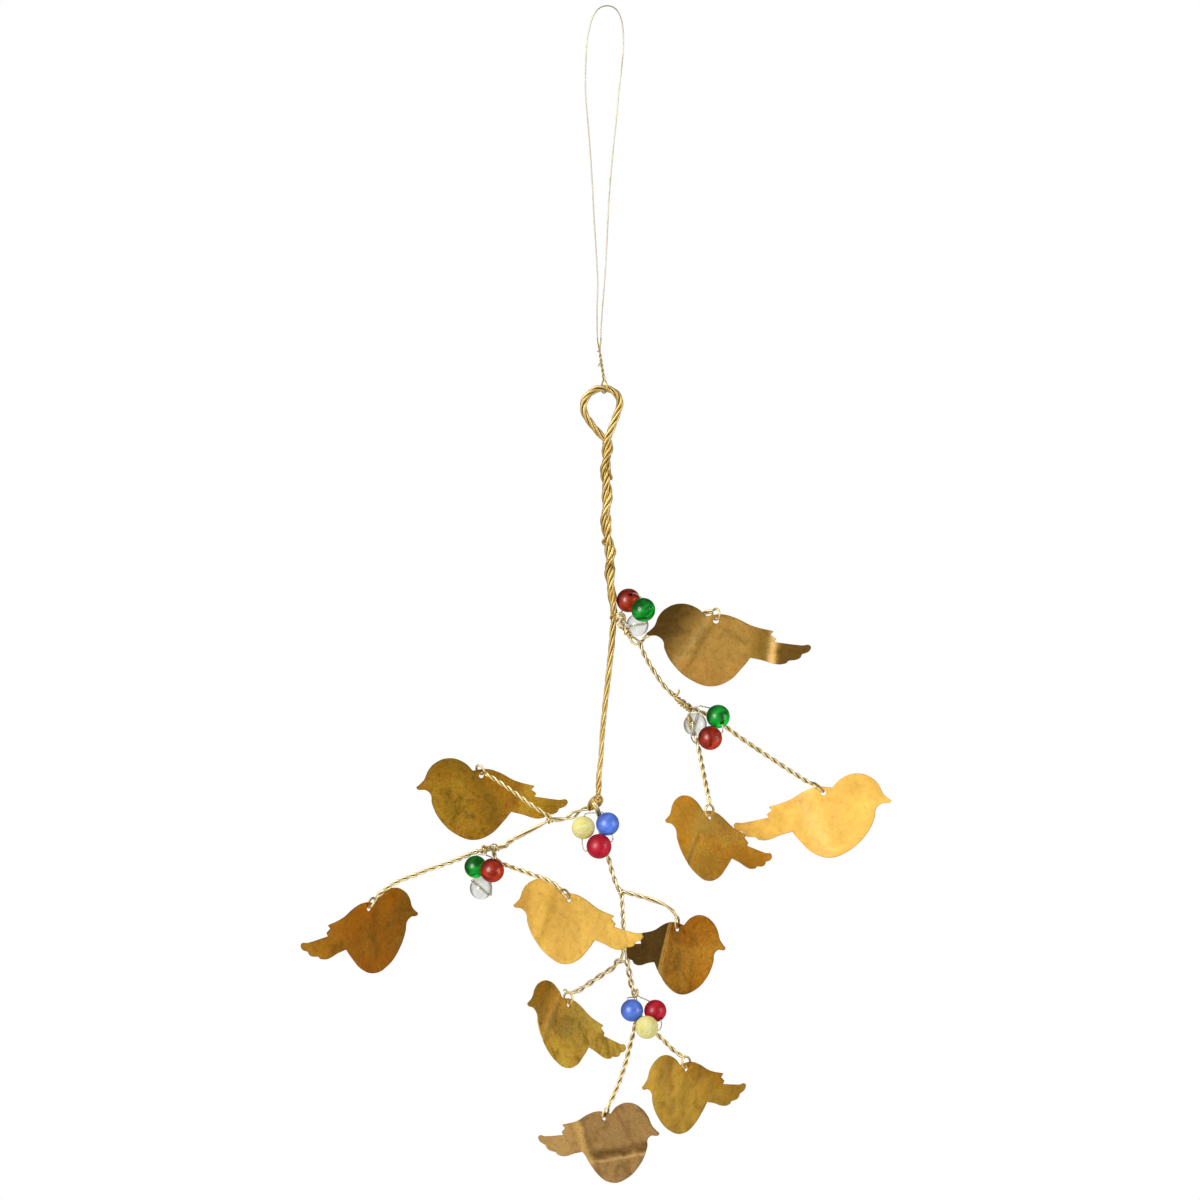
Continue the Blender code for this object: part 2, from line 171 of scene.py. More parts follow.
def lay(points, count, radius, pitch, phase=0.0, uneven=0.0, seed=0, ease=0.0):
    """Centrelines of strands twisted right-handed about a line.

    radius and pitch are numbers or arrays along the line."""
    points = np.asarray(points)
    t, n, b = frames(points)
    s = arc(points)
    pitch = np.broadcast_to(np.asarray(pitch, float), s.shape)
    turn = np.concatenate([[0], np.cumsum(np.diff(s) / (0.5 * (pitch[1:] + pitch[:-1])))]) * 2 * math.pi
    radius = np.broadcast_to(np.asarray(radius, float), s.shape)
    out = []
    for k in range(count):
        a = phase + turn + 2 * math.pi * k / count
        r = radius.copy()
        if uneven:
            a = a + uneven * 0.55 * wobble(s, 0.006, seed + k * 1.7)
            r = r * (1 + uneven * 0.30 * wobble(s, 0.0042, seed + 50 + k * 2.3))
        out.append(points + r[:, None] * (np.cos(a)[:, None] * n + np.sin(a)[:, None] * b))
    return out


def blendline(*parts):
    """Joins lines of points with short smooth bridges."""
    line = [np.asarray(parts[0])]
    for p in parts[1:]:
        p = np.asarray(p)
        a0, a1 = line[-1][-2], line[-1][-1]
        b0, b1 = p[0], p[1]
        gap = np.linalg.norm(b0 - a1)
        n = max(1, int(gap / 0.00012))
        da = (a1 - a0) / max(np.linalg.norm(a1 - a0), 1e-9) * gap * 0.9
        db = (b1 - b0) / max(np.linalg.norm(b1 - b0), 1e-9) * gap * 0.9
        mid = []
        for i in range(1, n):
            x = i / n
            mid.append((2 * x ** 3 - 3 * x * x + 1) * a1 + (x ** 3 - 2 * x * x + x) * da
                       + (-2 * x ** 3 + 3 * x * x) * b0 + (x ** 3 - x * x) * db)
        if mid:
            line.append(np.array(mid))
        line.append(p)
    return np.vstack(line)


# ------------------------------------------------------------------ materials
class Nodes:
    def __init__(self, name):
        self.mat = bpy.data.materials.new(name)
        self.mat.use_nodes = True
        self.tree = self.mat.node_tree
        self.bsdf = self.tree.nodes["Principled BSDF"]

    def add(self, kind, **props):
        node = self.tree.nodes.new(kind)
        for key, value in props.items():
            setattr(node, key, value)
        return node

    def link(self, a, b):
        self.tree.links.new(a, b)

    def coords(self, offset=(0, 0, 0), scale=(1, 1, 1), turn=(0, 0, 0)):
        tc = self.add("ShaderNodeTexCoord")
        mp = self.add("ShaderNodeMapping")
        mp.inputs["Location"].default_value = offset
        mp.inputs["Rotation"].default_value = turn
        mp.inputs["Scale"].default_value = scale
        self.link(tc.outputs["Object"], mp.inputs["Vector"])
        return mp.outputs["Vector"]

    def noise(self, vector, scale, detail=4.0, rough=0.55, warp=0.0):
        n = self.add("ShaderNodeTexNoise")
        n.inputs["Scale"].default_value = scale
        n.inputs["Detail"].default_value = detail
        n.inputs["Roughness"].default_value = rough
        n.inputs["Distortion"].default_value = warp
        self.link(vector, n.inputs["Vector"])
        return n.outputs["Fac"]

    def ramp(self, fac, stops, smooth=True):
        r = self.add("ShaderNodeValToRGB")
        if smooth:
            r.color_ramp.interpolation = 'EASE'
        el = r.color_ramp.elements
        while len(el) < len(stops):
            el.new(0.5)
        for e, (pos, col) in zip(el, stops):
            e.position = pos
            e.color = (*col, 1.0) if len(col) == 3 else col
        self.link(fac, r.inputs["Fac"])
        return r.outputs["Color"]

    def levels(self, fac, low, high, to_low=0.0, to_high=1.0, soft=False):
        m = self.add("ShaderNodeMapRange")
        if soft:
            m.interpolation_type = 'SMOOTHSTEP'
        m.inputs["From Min"].default_value = low
        m.inputs["From Max"].default_value = high
        m.inputs["To Min"].default_value = to_low
        m.inputs["To Max"].default_value = to_high
        self.link(fac, m.inputs["Value"])
        return m.outputs["Result"]

    def mix(self, fac, a, b, how='MIX'):
        m = self.add("ShaderNodeMix", data_type='RGBA', blend_type=how)
        for value, socket in ((fac, m.inputs["Factor"]), (a, m.inputs["A"]), (b, m.inputs["B"])):
            socket = [s for s in m.inputs if s.name == socket.name and s.type == ('VALUE' if socket.name == "Factor" else 'RGBA')][0]
            if hasattr(value, "links") or hasattr(value, "is_linked"):
                self.link(value, socket)
            elif isinstance(value, (int, float)):
                socket.default_value = value
            else:
                socket.default_value = (*value, 1.0)
        return [s for s in m.outputs if s.type == 'RGBA'][0]

    def maths(self, how, a, b):
        m = self.add("ShaderNodeMath", operation=how)
        for value, socket in ((a, m.inputs[0]), (b, m.inputs[1])):
            if isinstance(value, (int, float)):
                socket.default_value = value
            else:
                self.link(value, socket)
        return m.outputs["Value"]

    def bump(self, height, strength, distance):
        bp = self.add("ShaderNodeBump")
        bp.inputs["Strength"].default_value = strength
        bp.inputs["Distance"].default_value = distance
        self.link(height, bp.inputs["Height"])
        self.link(bp.outputs["Normal"], self.bsdf.inputs["Normal"])

    def set(self, **values):
        for key, value in values.items():
            self.bsdf.inputs[key.replace("_", " ")].default_value = value


def wire_brass(name, bright, dull, dark, groove_shade, rough=(0.20, 0.34), seed=0.0, span=(-0.45, 0.50)):
    """Drawn brass wire: dull film in patches, and brown painted shade in the grooves between strands."""
    m = Nodes(name)
    m.set(Metallic=1.0)
    v = m.coords(offset=(seed, seed * 1.3, -seed))
    film = m.noise(v, 240.0, 3.0, 0.55)
    fine = m.noise(v, 2600.0, 2.0, 0.5)
    colour = m.ramp(film, [(0.30, dark), (0.45, dull), (0.62, bright)])
    # painted shade: the side of each wire that faces the line it winds round is darkened towards the groove colour
    groove = m.add("ShaderNodeAttribute", attribute_name="groove")
    colour = m.mix(m.levels(groove.outputs["Fac"], span[0], span[1], 0.0, 0.95), colour, groove_shade)
    m.link(colour, m.bsdf.inputs["Base Color"])
    m.link(m.levels(film, 0.3, 0.7, rough[1], rough[0]), m.bsdf.inputs["Roughness"])
    m.bump(fine, 0.06, 0.00002)
    return m.mat


def sheet_brass(name, gold, olive, orange, rough, seed, stain_and_painted_light_marks=(), wear=1.0):
    """Cut sheet: cloudy tarnish from olive to orange, a rubbed grain, scratches, a thin dull cut edge, and listed marks
    of stain and painted light.

    A mark is (kind, a, b, way, width, colour, amount): a colour beyond a line or a band along it. Some marks are
    stains; others are painted highlights along ridges, painted shade along creases and painted reflections.
    wear is how strongly the sheet is speckled and rubbed."""
    m = Nodes(name)
    m.set(Metallic=1.0)
    tc = m.add("ShaderNodeTexCoord")
    v = m.coords(offset=(seed * 0.013, seed * 0.007, 0.0))
    cloud = m.noise(v, 210.0, 6.0, 0.62, 0.8)
    patch = m.noise(m.coords(offset=(seed * 0.031, -seed * 0.017, 0.002)), 90.0, 3.0, 0.5, 0.5)
    grit = m.noise(v, 2400.0, 4.0, 0.7)
    rub = m.noise(v, 900.0, 5.0, 0.68, 0.6)
    colour = m.ramp(cloud, [(0.32, tuple(c * (1.0 - 0.20 * wear) for c in olive)), (0.52, gold), (0.72, tuple(min(1.0, c * 1.18) for c in gold))])
    colour = m.mix(m.levels(patch, 0.46, 0.68, 0.0, 0.80, True), colour, orange)
    # the listed marks: stains, and painted highlights, shade and reflections, laid beyond or along given lines
    for kind, a, b, way, width, tint, amount in stain_and_painted_light_marks:
        w = math.radians(way)
        dot = m.add("ShaderNodeVectorMath", operation='DOT_PRODUCT')
        m.link(tc.outputs["Object"], dot.inputs[0])
        dot.inputs[1].default_value = (math.sin(w), -math.cos(w), 0.0)
        s = m.maths('ADD', dot.outputs["Value"], -(a * math.sin(w) - b * math.cos(w)) * UNIT)
        s = m.maths('ADD', s, m.levels(cloud, 0.3, 0.7, -0.35 * width * UNIT, 0.35 * width * UNIT))
        if kind == "beyond":
            fac = m.levels(s, -width * UNIT, width * UNIT, 0.0, amount, True)
        else:
            fac = m.levels(m.maths('ABSOLUTE', s, 0.0), 0.0, width * UNIT, amount, 0.0, True)
        colour = m.mix(fac, colour, tint)
    worn = 0.86 - 0.10 * wear
    colour = m.mix(1.0, colour, m.ramp(rub, [(0.30, (worn, worn - 0.02, worn - 0.08)), (0.56, (1.0, 1.0, 1.0))]), 'MULTIPLY')
    colour = m.mix(1.0, colour, m.levels(grit, 0.36, 0.62, 1.0 - 0.07 * wear, 1.0 + 0.08 * wear), 'MULTIPLY')
    scratches = None
    for k in range(4):
        ang = seed * 0.37 + k * math.pi / 4 + 0.35 * math.sin(seed + 2.1 * k)
        lines = m.noise(m.coords(offset=(seed * 0.1 + k, 0, 0), scale=(240.0, 6000.0, 1.0), turn=(0, 0, ang)),
                        1.0, 2.0, 0.5, 0.15)
        lines = m.levels(lines, 0.63, 0.72)
        scratches = lines if scratches is None else m.maths('MAXIMUM', scratches, lines)
    fade = m.levels(m.noise(v, 120.0, 2.0), 0.42, 0.62, 0.05, 0.80)
    scratches = m.maths('MULTIPLY', scratches, fade)
    colour = m.mix(m.maths('MULTIPLY', scratches, 0.30), colour, (0.96, 0.66, 0.22))
    colour = m.mix(m.levels(grit, 0.26, 0.40, 0.16, 0.0), colour, tuple(c * 0.6 for c in olive))
    edge = m.add("ShaderNodeAttribute", attribute_name="edge")
    rim = m.maths('ADD', edge.outputs["Fac"], m.levels(grit, 0.2, 0.8, -0.00010, 0.00010))
    colour = m.mix(m.levels(rim, 0.00000, 0.00020, 0.45, 0.0), colour, tuple(c * 0.5 for c in olive))
    m.link(colour, m.bsdf.inputs["Base Color"])
    r = m.levels(cloud, 0.3, 0.7, rough + 0.08, rough - 0.04)
    r = m.maths('ADD', r, m.maths('MULTIPLY', scratches, -0.05))
    m.link(r, m.bsdf.inputs["Roughness"])
    relief = m.maths('ADD', m.maths('MULTIPLY', scratches, -0.5), m.maths('ADD', m.maths('MULTIPLY', grit, 0.4), rub))
    m.bump(relief, 0.30, 0.00003)
    return m.mat


def glass(name, colour, pale, clear, seed, ior=1.12, coat=0.10, soft=0.30, rough=0.14, scale=330.0, glow=None, shade=None):
    """Wound glass: faint swirls of stronger and paler colour under a soft gloss.

    glow is a painted glow, the colour put where light from the upper left would gather at the far side; shade is
    painted shade on the side the light enters."""
    m = Nodes(name)
    m.set(IOR=ior, Transmission_Weight=clear, Coat_Weight=coat, Coat_IOR=3.0)
    v = m.coords(offset=(seed, seed * 0.7, seed * 1.9), scale=(1, 1, 2.2))
    swirl = m.noise(v, scale, 1.5, 0.45, 0.7)
    tint = m.ramp(swirl, [(0.32, colour), (0.68, pale)])
    # painted glow and painted shade, set by which way the surface faces in the world
    if glow:
        way = m.add("ShaderNodeVectorMath", operation='DOT_PRODUCT')
        m.link(m.add("ShaderNodeNewGeometry").outputs["Normal"], way.inputs[0])
        way.inputs[1].default_value = (0.80, 0.10, -0.59)
        far = m.maths('ADD', way.outputs["Value"], m.levels(m.noise(v, 380.0, 1.5, 0.45, 0.8), 0.3, 0.7, -0.26, 0.26))
        gather = m.maths('MULTIPLY', m.levels(far, 0.22, 0.62, 0.0, 1.0, True), m.levels(way.outputs["Value"], 0.80, 0.98, 1.0, 0.2, True))
        tint = m.mix(gather, tint, glow)
        tint = m.mix(m.levels(way.outputs["Value"], -0.30, -0.95, 0.0, 0.9, True), tint, shade)
    m.link(tint, m.bsdf.inputs["Base Color"])
    m.link(m.levels(m.noise(v, 500.0, 2.0), 0.3, 0.75, rough, rough * 1.4), m.bsdf.inputs["Roughness"])
    m.link(m.levels(swirl, 0.3, 0.7, soft, soft * 1.25), m.bsdf.inputs["Coat Roughness"])
    m.bump(m.noise(v, 220.0, 1.0), 0.02, 0.0001)
    return m.mat


# each wire look: bright, dull and dark film colours, the painted shade in the grooves, roughness, seed and, for some,
# the groove span
BRASS = wire_brass("brass_wire_look", (0.80, 0.575, 0.205), (0.68, 0.465, 0.145), (0.47, 0.285, 0.072), (0.13, 0.066, 0.013),
                   (0.25, 0.37), 0.0, (-0.36, 0.62))
BRASS_PAIR = wire_brass("brass_pair_look", (1.0, 0.85, 0.47), (0.94, 0.76, 0.37), (0.72, 0.53, 0.20), (0.37, 0.24, 0.075),
                        (0.24, 0.38), 0.2, (-0.25, 0.80))
BRASS_DULL = wire_brass("brass_wire_dull", (0.90, 0.70, 0.31), (0.80, 0.58, 0.21), (0.52, 0.34, 0.10), (0.20, 0.11, 0.025),
                        (0.24, 0.38), 0.4)
FINE_BRASS = wire_brass("fine_wire_look", (0.89, 0.84, 0.67), (0.80, 0.74, 0.56), (0.60, 0.54, 0.39), (0.31, 0.26, 0.15),
                        (0.2, 0.34), 0.8)
NECK_BRASS = wire_brass("neck_wire_look", (0.86, 0.70, 0.27), (0.74, 0.57, 0.18), (0.52, 0.38, 0.09), (0.24, 0.15, 0.03),
                        (0.22, 0.36), 0.9)

# glow and shade in these looks are painted glow and painted shade
GLASS = {
    "red": glass("red_glass_look", (0.048, 0.0017, 0.0006), (0.128, 0.0105, 0.0024), 0.18, 0.1, coat=0.030, soft=0.34, scale=300.0,
                 glow=(0.250, 0.017, 0.0042), shade=(0.028, 0.0014, 0.0006)),
    "green": glass("green_glass_look", (0.0002, 0.022, 0.0008), (0.0011, 0.108, 0.0090), 0.18, 0.2, coat=0.027, soft=0.32, scale=260.0,
                   glow=(0.0018, 0.350, 0.0200), shade=(0.0002, 0.013, 0.0008)),
    "clear": glass("clear_glass_look", (0.80, 0.79, 0.70), (1.0, 1.0, 0.98), 1.0, 0.3, 1.10, 0.05, 0.16, 0.10, scale=420.0),
    "blue": glass("blue_glass_look", (0.024, 0.058, 0.230), (0.038, 0.086, 0.310), 0.0, 0.4, coat=0.095, soft=0.36,
                  glow=(0.044, 0.106, 0.400), shade=(0.019, 0.038, 0.135)),
    "crimson": glass("crimson_glass_look", (0.140, 0.0008, 0.0055), (0.195, 0.0022, 0.0100), 0.0, 0.5, coat=0.050, soft=0.38,
                     glow=(0.290, 0.0060, 0.020), shade=(0.090, 0.0008, 0.0040)),
    "yellow": glass("yellow_glass_look", (0.69, 0.62, 0.168), (0.78, 0.735, 0.36), 0.0, 0.6, coat=0.04, soft=0.36, scale=420.0,
                    glow=(0.90, 0.83, 0.28), shade=(0.76, 0.70, 0.26)),
}

# ------------------------------------------------------------------ camera
camera = bpy.data.cameras.new("camera")
camera.sensor_width = 36.0
camera.lens = 36.0 * VIEW_DISTANCE / (1200 * UNIT)
camera.clip_start = 0.01
camera.clip_end = 20.0
eye = bpy.data.objects.new("camera", camera)
eye.location = at(600, 600) - Vector((0, VIEW_DISTANCE, 0))
eye.rotation_euler = (math.radians(90), 0, 0)
scene.collection.objects.link(eye)
scene.camera = eye

# ------------------------------------------------------------------ hanging loop
loop_points = [(597.6, 341), (597.2, 330), (597, 310), (597.8, 285), (596.8, 260), (594.2, 220),
               (591.8, 175), (588.6, 130), (586, 100), (585.4, 75), (586.6, 46), (589, 30),
               (593.2, 15.5), (599.4, 8), (607, 5.7), (614, 7.6), (619.4, 14), (622.6, 26),
               (623.4, 45), (621.8, 66), (619, 90), (616.4, 118), (612.6, 155), (609.2, 195),
               (607.2, 235), (605.4, 270), (603, 300), (601.6, 320), (600.9, 331), (600.9, 341)]
loop_line = route(loop_points, 0.0009)
loop_tube = Shape()
loop_tube.tube(loop_line, FINE, 10)
loop = loop_tube.make("hanging_loop_wire", FINE_BRASS, "hanger", ["hanging_loop"])

# neck: the two legs twisted on each other, cut ends, small loop under the eye's top
neck = route([(599.25, 341), (599.3, 347), (600.2, 354), (601.4, 363), (602.6, 370), (603.5, 375.6)], 0.00018)
spread = np.interp(arc(neck), [0, 0.0012, arc(neck)[-1]], [0.00034, 0.00016, 0.00016])
legs = lay(neck, 2, spread, np.interp(arc(neck), [0.0020, 0.0028], [0.0110, 0.0021]), phase=math.pi * 0.5)
rope_top = at(604.3, 388.3)
hang_dir = Vector((0.62, -1.0, 0.0)).normalized()
hang_r = 0.00114
ring = []
for i in range(41):
    a = math.radians(22 + 316 * i / 40)
    ring.append(rope_top + UP * (hang_r * (1.42 if math.cos(a) > 0 else 0.88) * math.cos(a)) + hang_dir * (hang_r * math.sin(a)))
ring = np.array([p[:] for p in ring])
twist = Shape()
twist.tube(blendline(legs[0], ring, legs[1][::-1]), FINE, 10)
for a, b, c in (((599.9, 349.5, -0.25), (598.6, 351.5, -0.5), (597.2, 351.4, -0.55)),
                ((600.9, 361, -0.25), (599.6, 363.2, -0.4), (598.4, 366.2, -0.3))):
    twist.tube(route([a, b, c], 0.00015), FINE, 8)
twist.make("hanger_neck", NECK_BRASS, "hanger", ["hanger_twist"])

# ------------------------------------------------------------------ stem
eye_points = [(608.2, 438.5), (609.8, 433), (612.4, 426.5), (615.6, 418), (618.4, 410), (619.8, 402.8), (618.4, 397),
              (615.2, 392.6), (610, 389.4), (604.3, 388.3), (596.6, 389.3), (589.6, 393.8),
              (584.8, 400), (583.4, 406.5), (585.2, 414.5), (590, 422), (596, 429.6), (601.6, 436), (605.6, 441)]
upper_points = [(606.4, 442), (608.6, 447), (607.0, 457), (605.3, 467), (605.0, 475), (606.2, 486),
                (607.2, 496), (606.6, 508), (605.6, 520), (605.6, 530), (607.6, 541), (610.6, 552),
                (610.2, 563), (610.0, 575), (610.3, 587), (612.2, 600), (614.3, 611), (613.8, 621)]
lower_points = [(612.9, 630), (611.4, 648), (609.3, 667), (607, 688), (604.6, 709), (602.4, 733),
                (600.9, 757), (599, 774), (598.8, 786), (598.2, 796), (597.4, 803)]

def strands(shape, line, count, radius, pitch, wire=STRAND, sides=8, **how):
    """Twists wires round a line into the shape."""
    for k in lay(line, count, radius, pitch, **how):
        shape.tube(k, wire, sides, axis=line)


stem = Shape()
# one rope of four wires: up the stem, round the eye, and back down winding round itself
axis = route([(606.9, 444), (606.4, 456), (606.2, 470), (606.4, 485), (606.5, 500), (606.3, 516), (606.8, 530),
              (608.0, 541), (609.6, 553), (610.2, 565), (610.3, 577), (610.9, 589), (612.4, 601), (613.9, 612),
              (613.9, 621)], 0.00022)
s_ax = arc(axis)
t, n, b = frames(axis)
turn = np.interp(s_ax / UNIT, [0, 4, 51, 106, 152, 178], [-2.1, -math.pi / 2, 1.5 * math.pi, 3.5 * math.pi, 5.5 * math.pi,
                                                         6.7 * math.pi])
close = np.interp(s_ax / UNIT, [0, 10, 130, 162, 178], [1.0, 1.0, 0.85, 0.60, 0.15])
tight = np.interp(s_ax / UNIT, [0, 130, 178], [1.0, 1.0, 0.70])
around = np.cos(turn)[:, None] * n + np.sin(turn)[:, None] * b
core = axis - around * (0.00030 * close)[:, None]
wound = axis + around * (0.00060 * close)[:, None]
bend_eye = route(eye_points[1:-1], 0.00022)
rope = blendline(core[::-1], bend_eye, wound)
s_rope = arc(rope)
ends = np.interp(s_rope, [0, 0.004, 0.011, s_rope[-1] - 0.011, s_rope[-1] - 0.004, s_rope[-1]], [0.30, 0.72, 1, 1, 0.72, 0.30])
strands(stem, rope, 4, 0.00046 * ends, 0.0098 * (1 + 0.15 * wobble(s_rope, 0.01, 3)), STRAND * 1.28, uneven=0.30, seed=1)
stem.tube(rope, 0.00020, 8, axis=rope + np.array([0, 1e-3, 0]))
# lower stem: wires laid long, thinning downwards
line = route(upper_points[-4:] + lower_points, 0.00026)
s_low = arc(line)
thin = np.interp(s_low[-1] - s_low, [0, 0.0018, 0.0034, 0.007, s_low[-1] - 0.022, s_low[-1] - 0.010, s_low[-1]],
                 [0.00022, 0.00026, 0.00040, 0.00027, 0.00031, 0.00040, 0.00044])
strands(stem, line, 4, thin, np.interp(s_low[-1] - s_low, [0, 0.004, 0.010], [0.0062, 0.0070, 0.0125]), STRAND * 1.10,
        uneven=0.18, seed=40)
stem.tube(line, 0.00018, 6, axis=line + np.array([0, 1e-3, 0]))
# cut ends and stray turns on the stem
stem.tube(route([(607.5, 470, -0.75), (609.6, 473, -0.8), (611.6, 477, -0.6), (611.2, 480, -0.3)], 0.00015), STRAND * 0.9, 8)
stem.tube(route([(605.6, 538, -0.8), (603.2, 540, -0.75), (602.6, 542.6, -0.6), (604.2, 544.4, -0.6),
                 (606.4, 543, -0.8)], 0.00012), STRAND * 0.9, 8)
stem.tube(route([(611.6, 545, -0.4), (614.4, 549, -0.3), (615, 553, -0.2), (612.4, 557, -0.8), (607, 560, -0.85)],
                0.00015), STRAND, 8)
stem.tube(route([(607, 566, -0.9), (611, 563.4, -1.0), (614.2, 568, -0.6), (613.6, 573, -0.3)], 0.00015), STRAND, 8)
stem.tube(route([(616.2, 615.0, -0.7), (613.4, 614.8, -1.1), (611.0, 616.4, -0.8), (610.8, 619.0, -0.3)], 0.00014), STRAND * 0.85, 8)
stem.make("stem_rope", BRASS, "frame", ["main_stem"])

# ------------------------------------------------------------------ branches
PITCH = 0.0040


def pair(shape, points, pitch=PITCH, radius=STRAND, uneven=0.12, seed=0, phase=0.0, step=0.00022, cross=None):
    """Two wires twisted on each other. pitch and radius may be lists of (distance, value), in the units of the layout;
    cross is a distance at which one wire lies in front of the other."""
    line = route(points, step)
    s = arc(line)
    pitch = np.interp(s / UNIT, *zip(*pitch)) if isinstance(pitch, list) else np.full(len(s), pitch)
    radius = np.interp(s / UNIT, *zip(*radius)) if isinstance(radius, list) else radius
    if cross is not None:
        i = int(np.argmin(np.abs(s / UNIT - cross)))
        t, n, b = frames(line)
        turned = np.concatenate([[0], np.cumsum(np.diff(s) / (0.5 * (pitch[1:] + pitch[:-1])))]) * 2 * math.pi
        phase = math.atan2(b[i][1], n[i][1]) - turned[i]
    strands(shape, line, 2, radius, pitch, phase=phase, uneven=uneven, seed=seed)


def single(shape, points, wire=STRAND):
    shape.tube(route(points, 0.00013), wire, 8)


def windings(shape, points, turns, radius, seed, wire=STRAND, reach=0.2, bunch=0.35):
    """Irregular turns of wire bunched round a short line."""
    line = route(points, 0.00012)
    s = arc(line)
    n = int(turns * 22)
    x = np.linspace(0, 1, n)
    q = s[-1] * np.clip(x + bunch / turns / 6 * np.sin(2 * math.pi * turns * x + seed), 0, 1)
    line = np.stack([np.interp(q, s, line[:, i]) for i in range(3)], 1)
    line = line + 1e-7 * x[:, None]
    t, a, b = frames(np.stack([np.interp(x * s[-1], s, route(points, 0.00012)[:, i]) for i in range(3)], 1))
    ang = x * turns * 2 * math.pi + 0.9 * seed
    r = radius * (1 + reach * wobble(x, 0.7 / turns, seed))
    shape.tube(line + r[:, None] * (np.cos(ang)[:, None] * a + np.sin(ang)[:, None] * b), wire, 8, axis=line)


def loop_of(shape, u, v, depth, ru, rv, start, sweep, turn=0.0, tip=0.0, wire=STRAND):
    """Open loop of wire facing the front, its plane turned a little."""
    pts = []
    c, t = math.cos(math.radians(turn)), math.sin(math.radians(turn))
    for i in range(31):
        a = math.radians(start + sweep * i / 30)
        x, y = ru * math.cos(a), rv * math.sin(a)
        pts.append(at(u + x * c - y * t, v + x * t + y * c, depth + tip * math.cos(a) + 0.25 * (i / 30 - 0.5)))
    shape.tube(np.array([p[:] for p in pts]), wire, 8)


right_points = [(639.6, 642.4, 0), (644, 654, 0), (650, 665, 0), (656, 674.5, 0), (662.5, 684, 0), (669, 691, 0),
                (675, 697, 0), (682, 703.5, 0), (690, 709.5, 0)]
left_points = [(588.6, 808, -0.6), (582, 809.8, -1.0), (575, 814, -1.5), (567, 818.4, -2.0), (558, 819.6, -2.8),
               (550.8, 819, -3.3), (544, 823.4, -3.3), (529, 831, -3.1), (513.3, 839.5, -2.9), (500, 847.6, -2.7),
               (487, 849, -2.6), (476.4, 851.6, -2.6)]
centre_points = [(597.6, 814.5, 0.6), (600.4, 830, 0.8), (604.6, 846, 0.8), (608, 857, 0.6), (613, 875, 0.4),
                 (616.6, 885, 0.2), (621, 893, 0), (622.3, 903, 0), (623, 920, 0), (624, 940, 0), (624.2, 950, 0)]
lower_branch_points = [(626.4, 959.6, 0.2), (628.2, 967, 0.3), (629.6, 976, 0.5), (631.4, 985, 0.8), (634.4, 994, 0.8),
                       (636.4, 1007, 0.8), (636.2, 1017, 0.8)]

# right branch: loops by the stem, an open loop at the fork, then a pair
shape = Shape()
single(shape, [(615.6, 617.4, -0.5), (617.2, 614.4, -1.0), (620.4, 613.2, -1.1), (623.6, 614.8, -0.9), (625.0, 618.2, -0.5), (624.4, 621.4, -0.2)])
single(shape, [(616.0, 619.6, -0.5), (617.8, 616.6, -0.9), (620.6, 615.4, -1.0), (622.6, 616.8, -0.8), (623.0, 619.4, -0.4)])
loop_of(shape, 622.3, 621.4, -0.6, 2.6, 2.1, 190, 400, 20, 0.3)
loop_of(shape, 621.7, 626.0, -0.4, 2.5, 2.1, 290, -330, -10, 0.3)
single(shape, [(617.2, 620.4, 0.2), (620.4, 619.6, -0.2), (622.4, 621.6, -0.4)], STRAND * 0.9)
pair(shape, [(622.4, 625.6, -0.2), (625, 629.6, 0), (628, 634, 0), (631.2, 637.6, 0)], 0.0023, STRAND * 1.25, 0.3, 3)
windings(shape, [(624.6, 628.4, 0), (628.8, 635, 0)], 1.6, 0.00058, 2.0)
single(shape, [(630.6, 636.4, 0.1), (631.2, 640.4, 0), (633.6, 643.4, -0.2), (637, 644.2, -0.4), (640.6, 642.4, -0.3)])
single(shape, [(630.4, 636.6, -0.3), (634.2, 637.8, 0.2), (637.4, 640.2, 0.3), (640.4, 644.2, 0.2)])
pair(shape, right_points, 0.0040, seed=4, phase=0.6)
shape.make("right_branch_pair", BRASS_PAIR, "frame", ["right_branch"])

shape = Shape()
windings(shape, [(616.4, 619.4, -0.2), (621.4, 624.4, 0)], 1.5, 0.00050, 1.0)
shape.make("right_wrap_turns", BRASS_DULL, "frame", ["right_wrap"])

shape = Shape()
windings(shape, [(674.6, 695.8, 0), (681, 702, 0)], 2.1, 0.00047, 3.0, STRAND, 0.45, 0.6)
windings(shape, [(681, 702, 0), (690, 708.8, 0)], 3.3, 0.00050, 4.3, STRAND * 1.06, 0.5, 0.7)
single(shape, [(675.6, 698.4, -0.4), (679.6, 700.4, -1.0), (684.0, 702.8, -1.3), (687.4, 706.4, -1.2), (691.0, 711.0, -0.5)], STRAND * 1.06)
windings(shape, [(689, 708.2, 0), (693, 711.8, -0.2)], 1.3, 0.00052, 5.1)
loop_of(shape, 683.0, 702.4, -0.5, 2.6, 1.9, 40, 330, 50, 0.3)
loop_of(shape, 688.2, 706.0, -0.6, 2.4, 1.9, 200, 350, 30, 0.3)
single(shape, [(674, 696.6, -0.5), (677, 694.8, -0.8), (678.6, 692.4, -0.8), (678.9, 689.8, -0.6)], STRAND * 0.85)
single(shape, [(677, 695.4, -0.6), (673.8, 693.8, -0.7), (671.6, 694.6, -0.6)], STRAND * 0.8)
shape.make("right_knot_turns", BRASS_DULL, "frame", ["right_knot"])

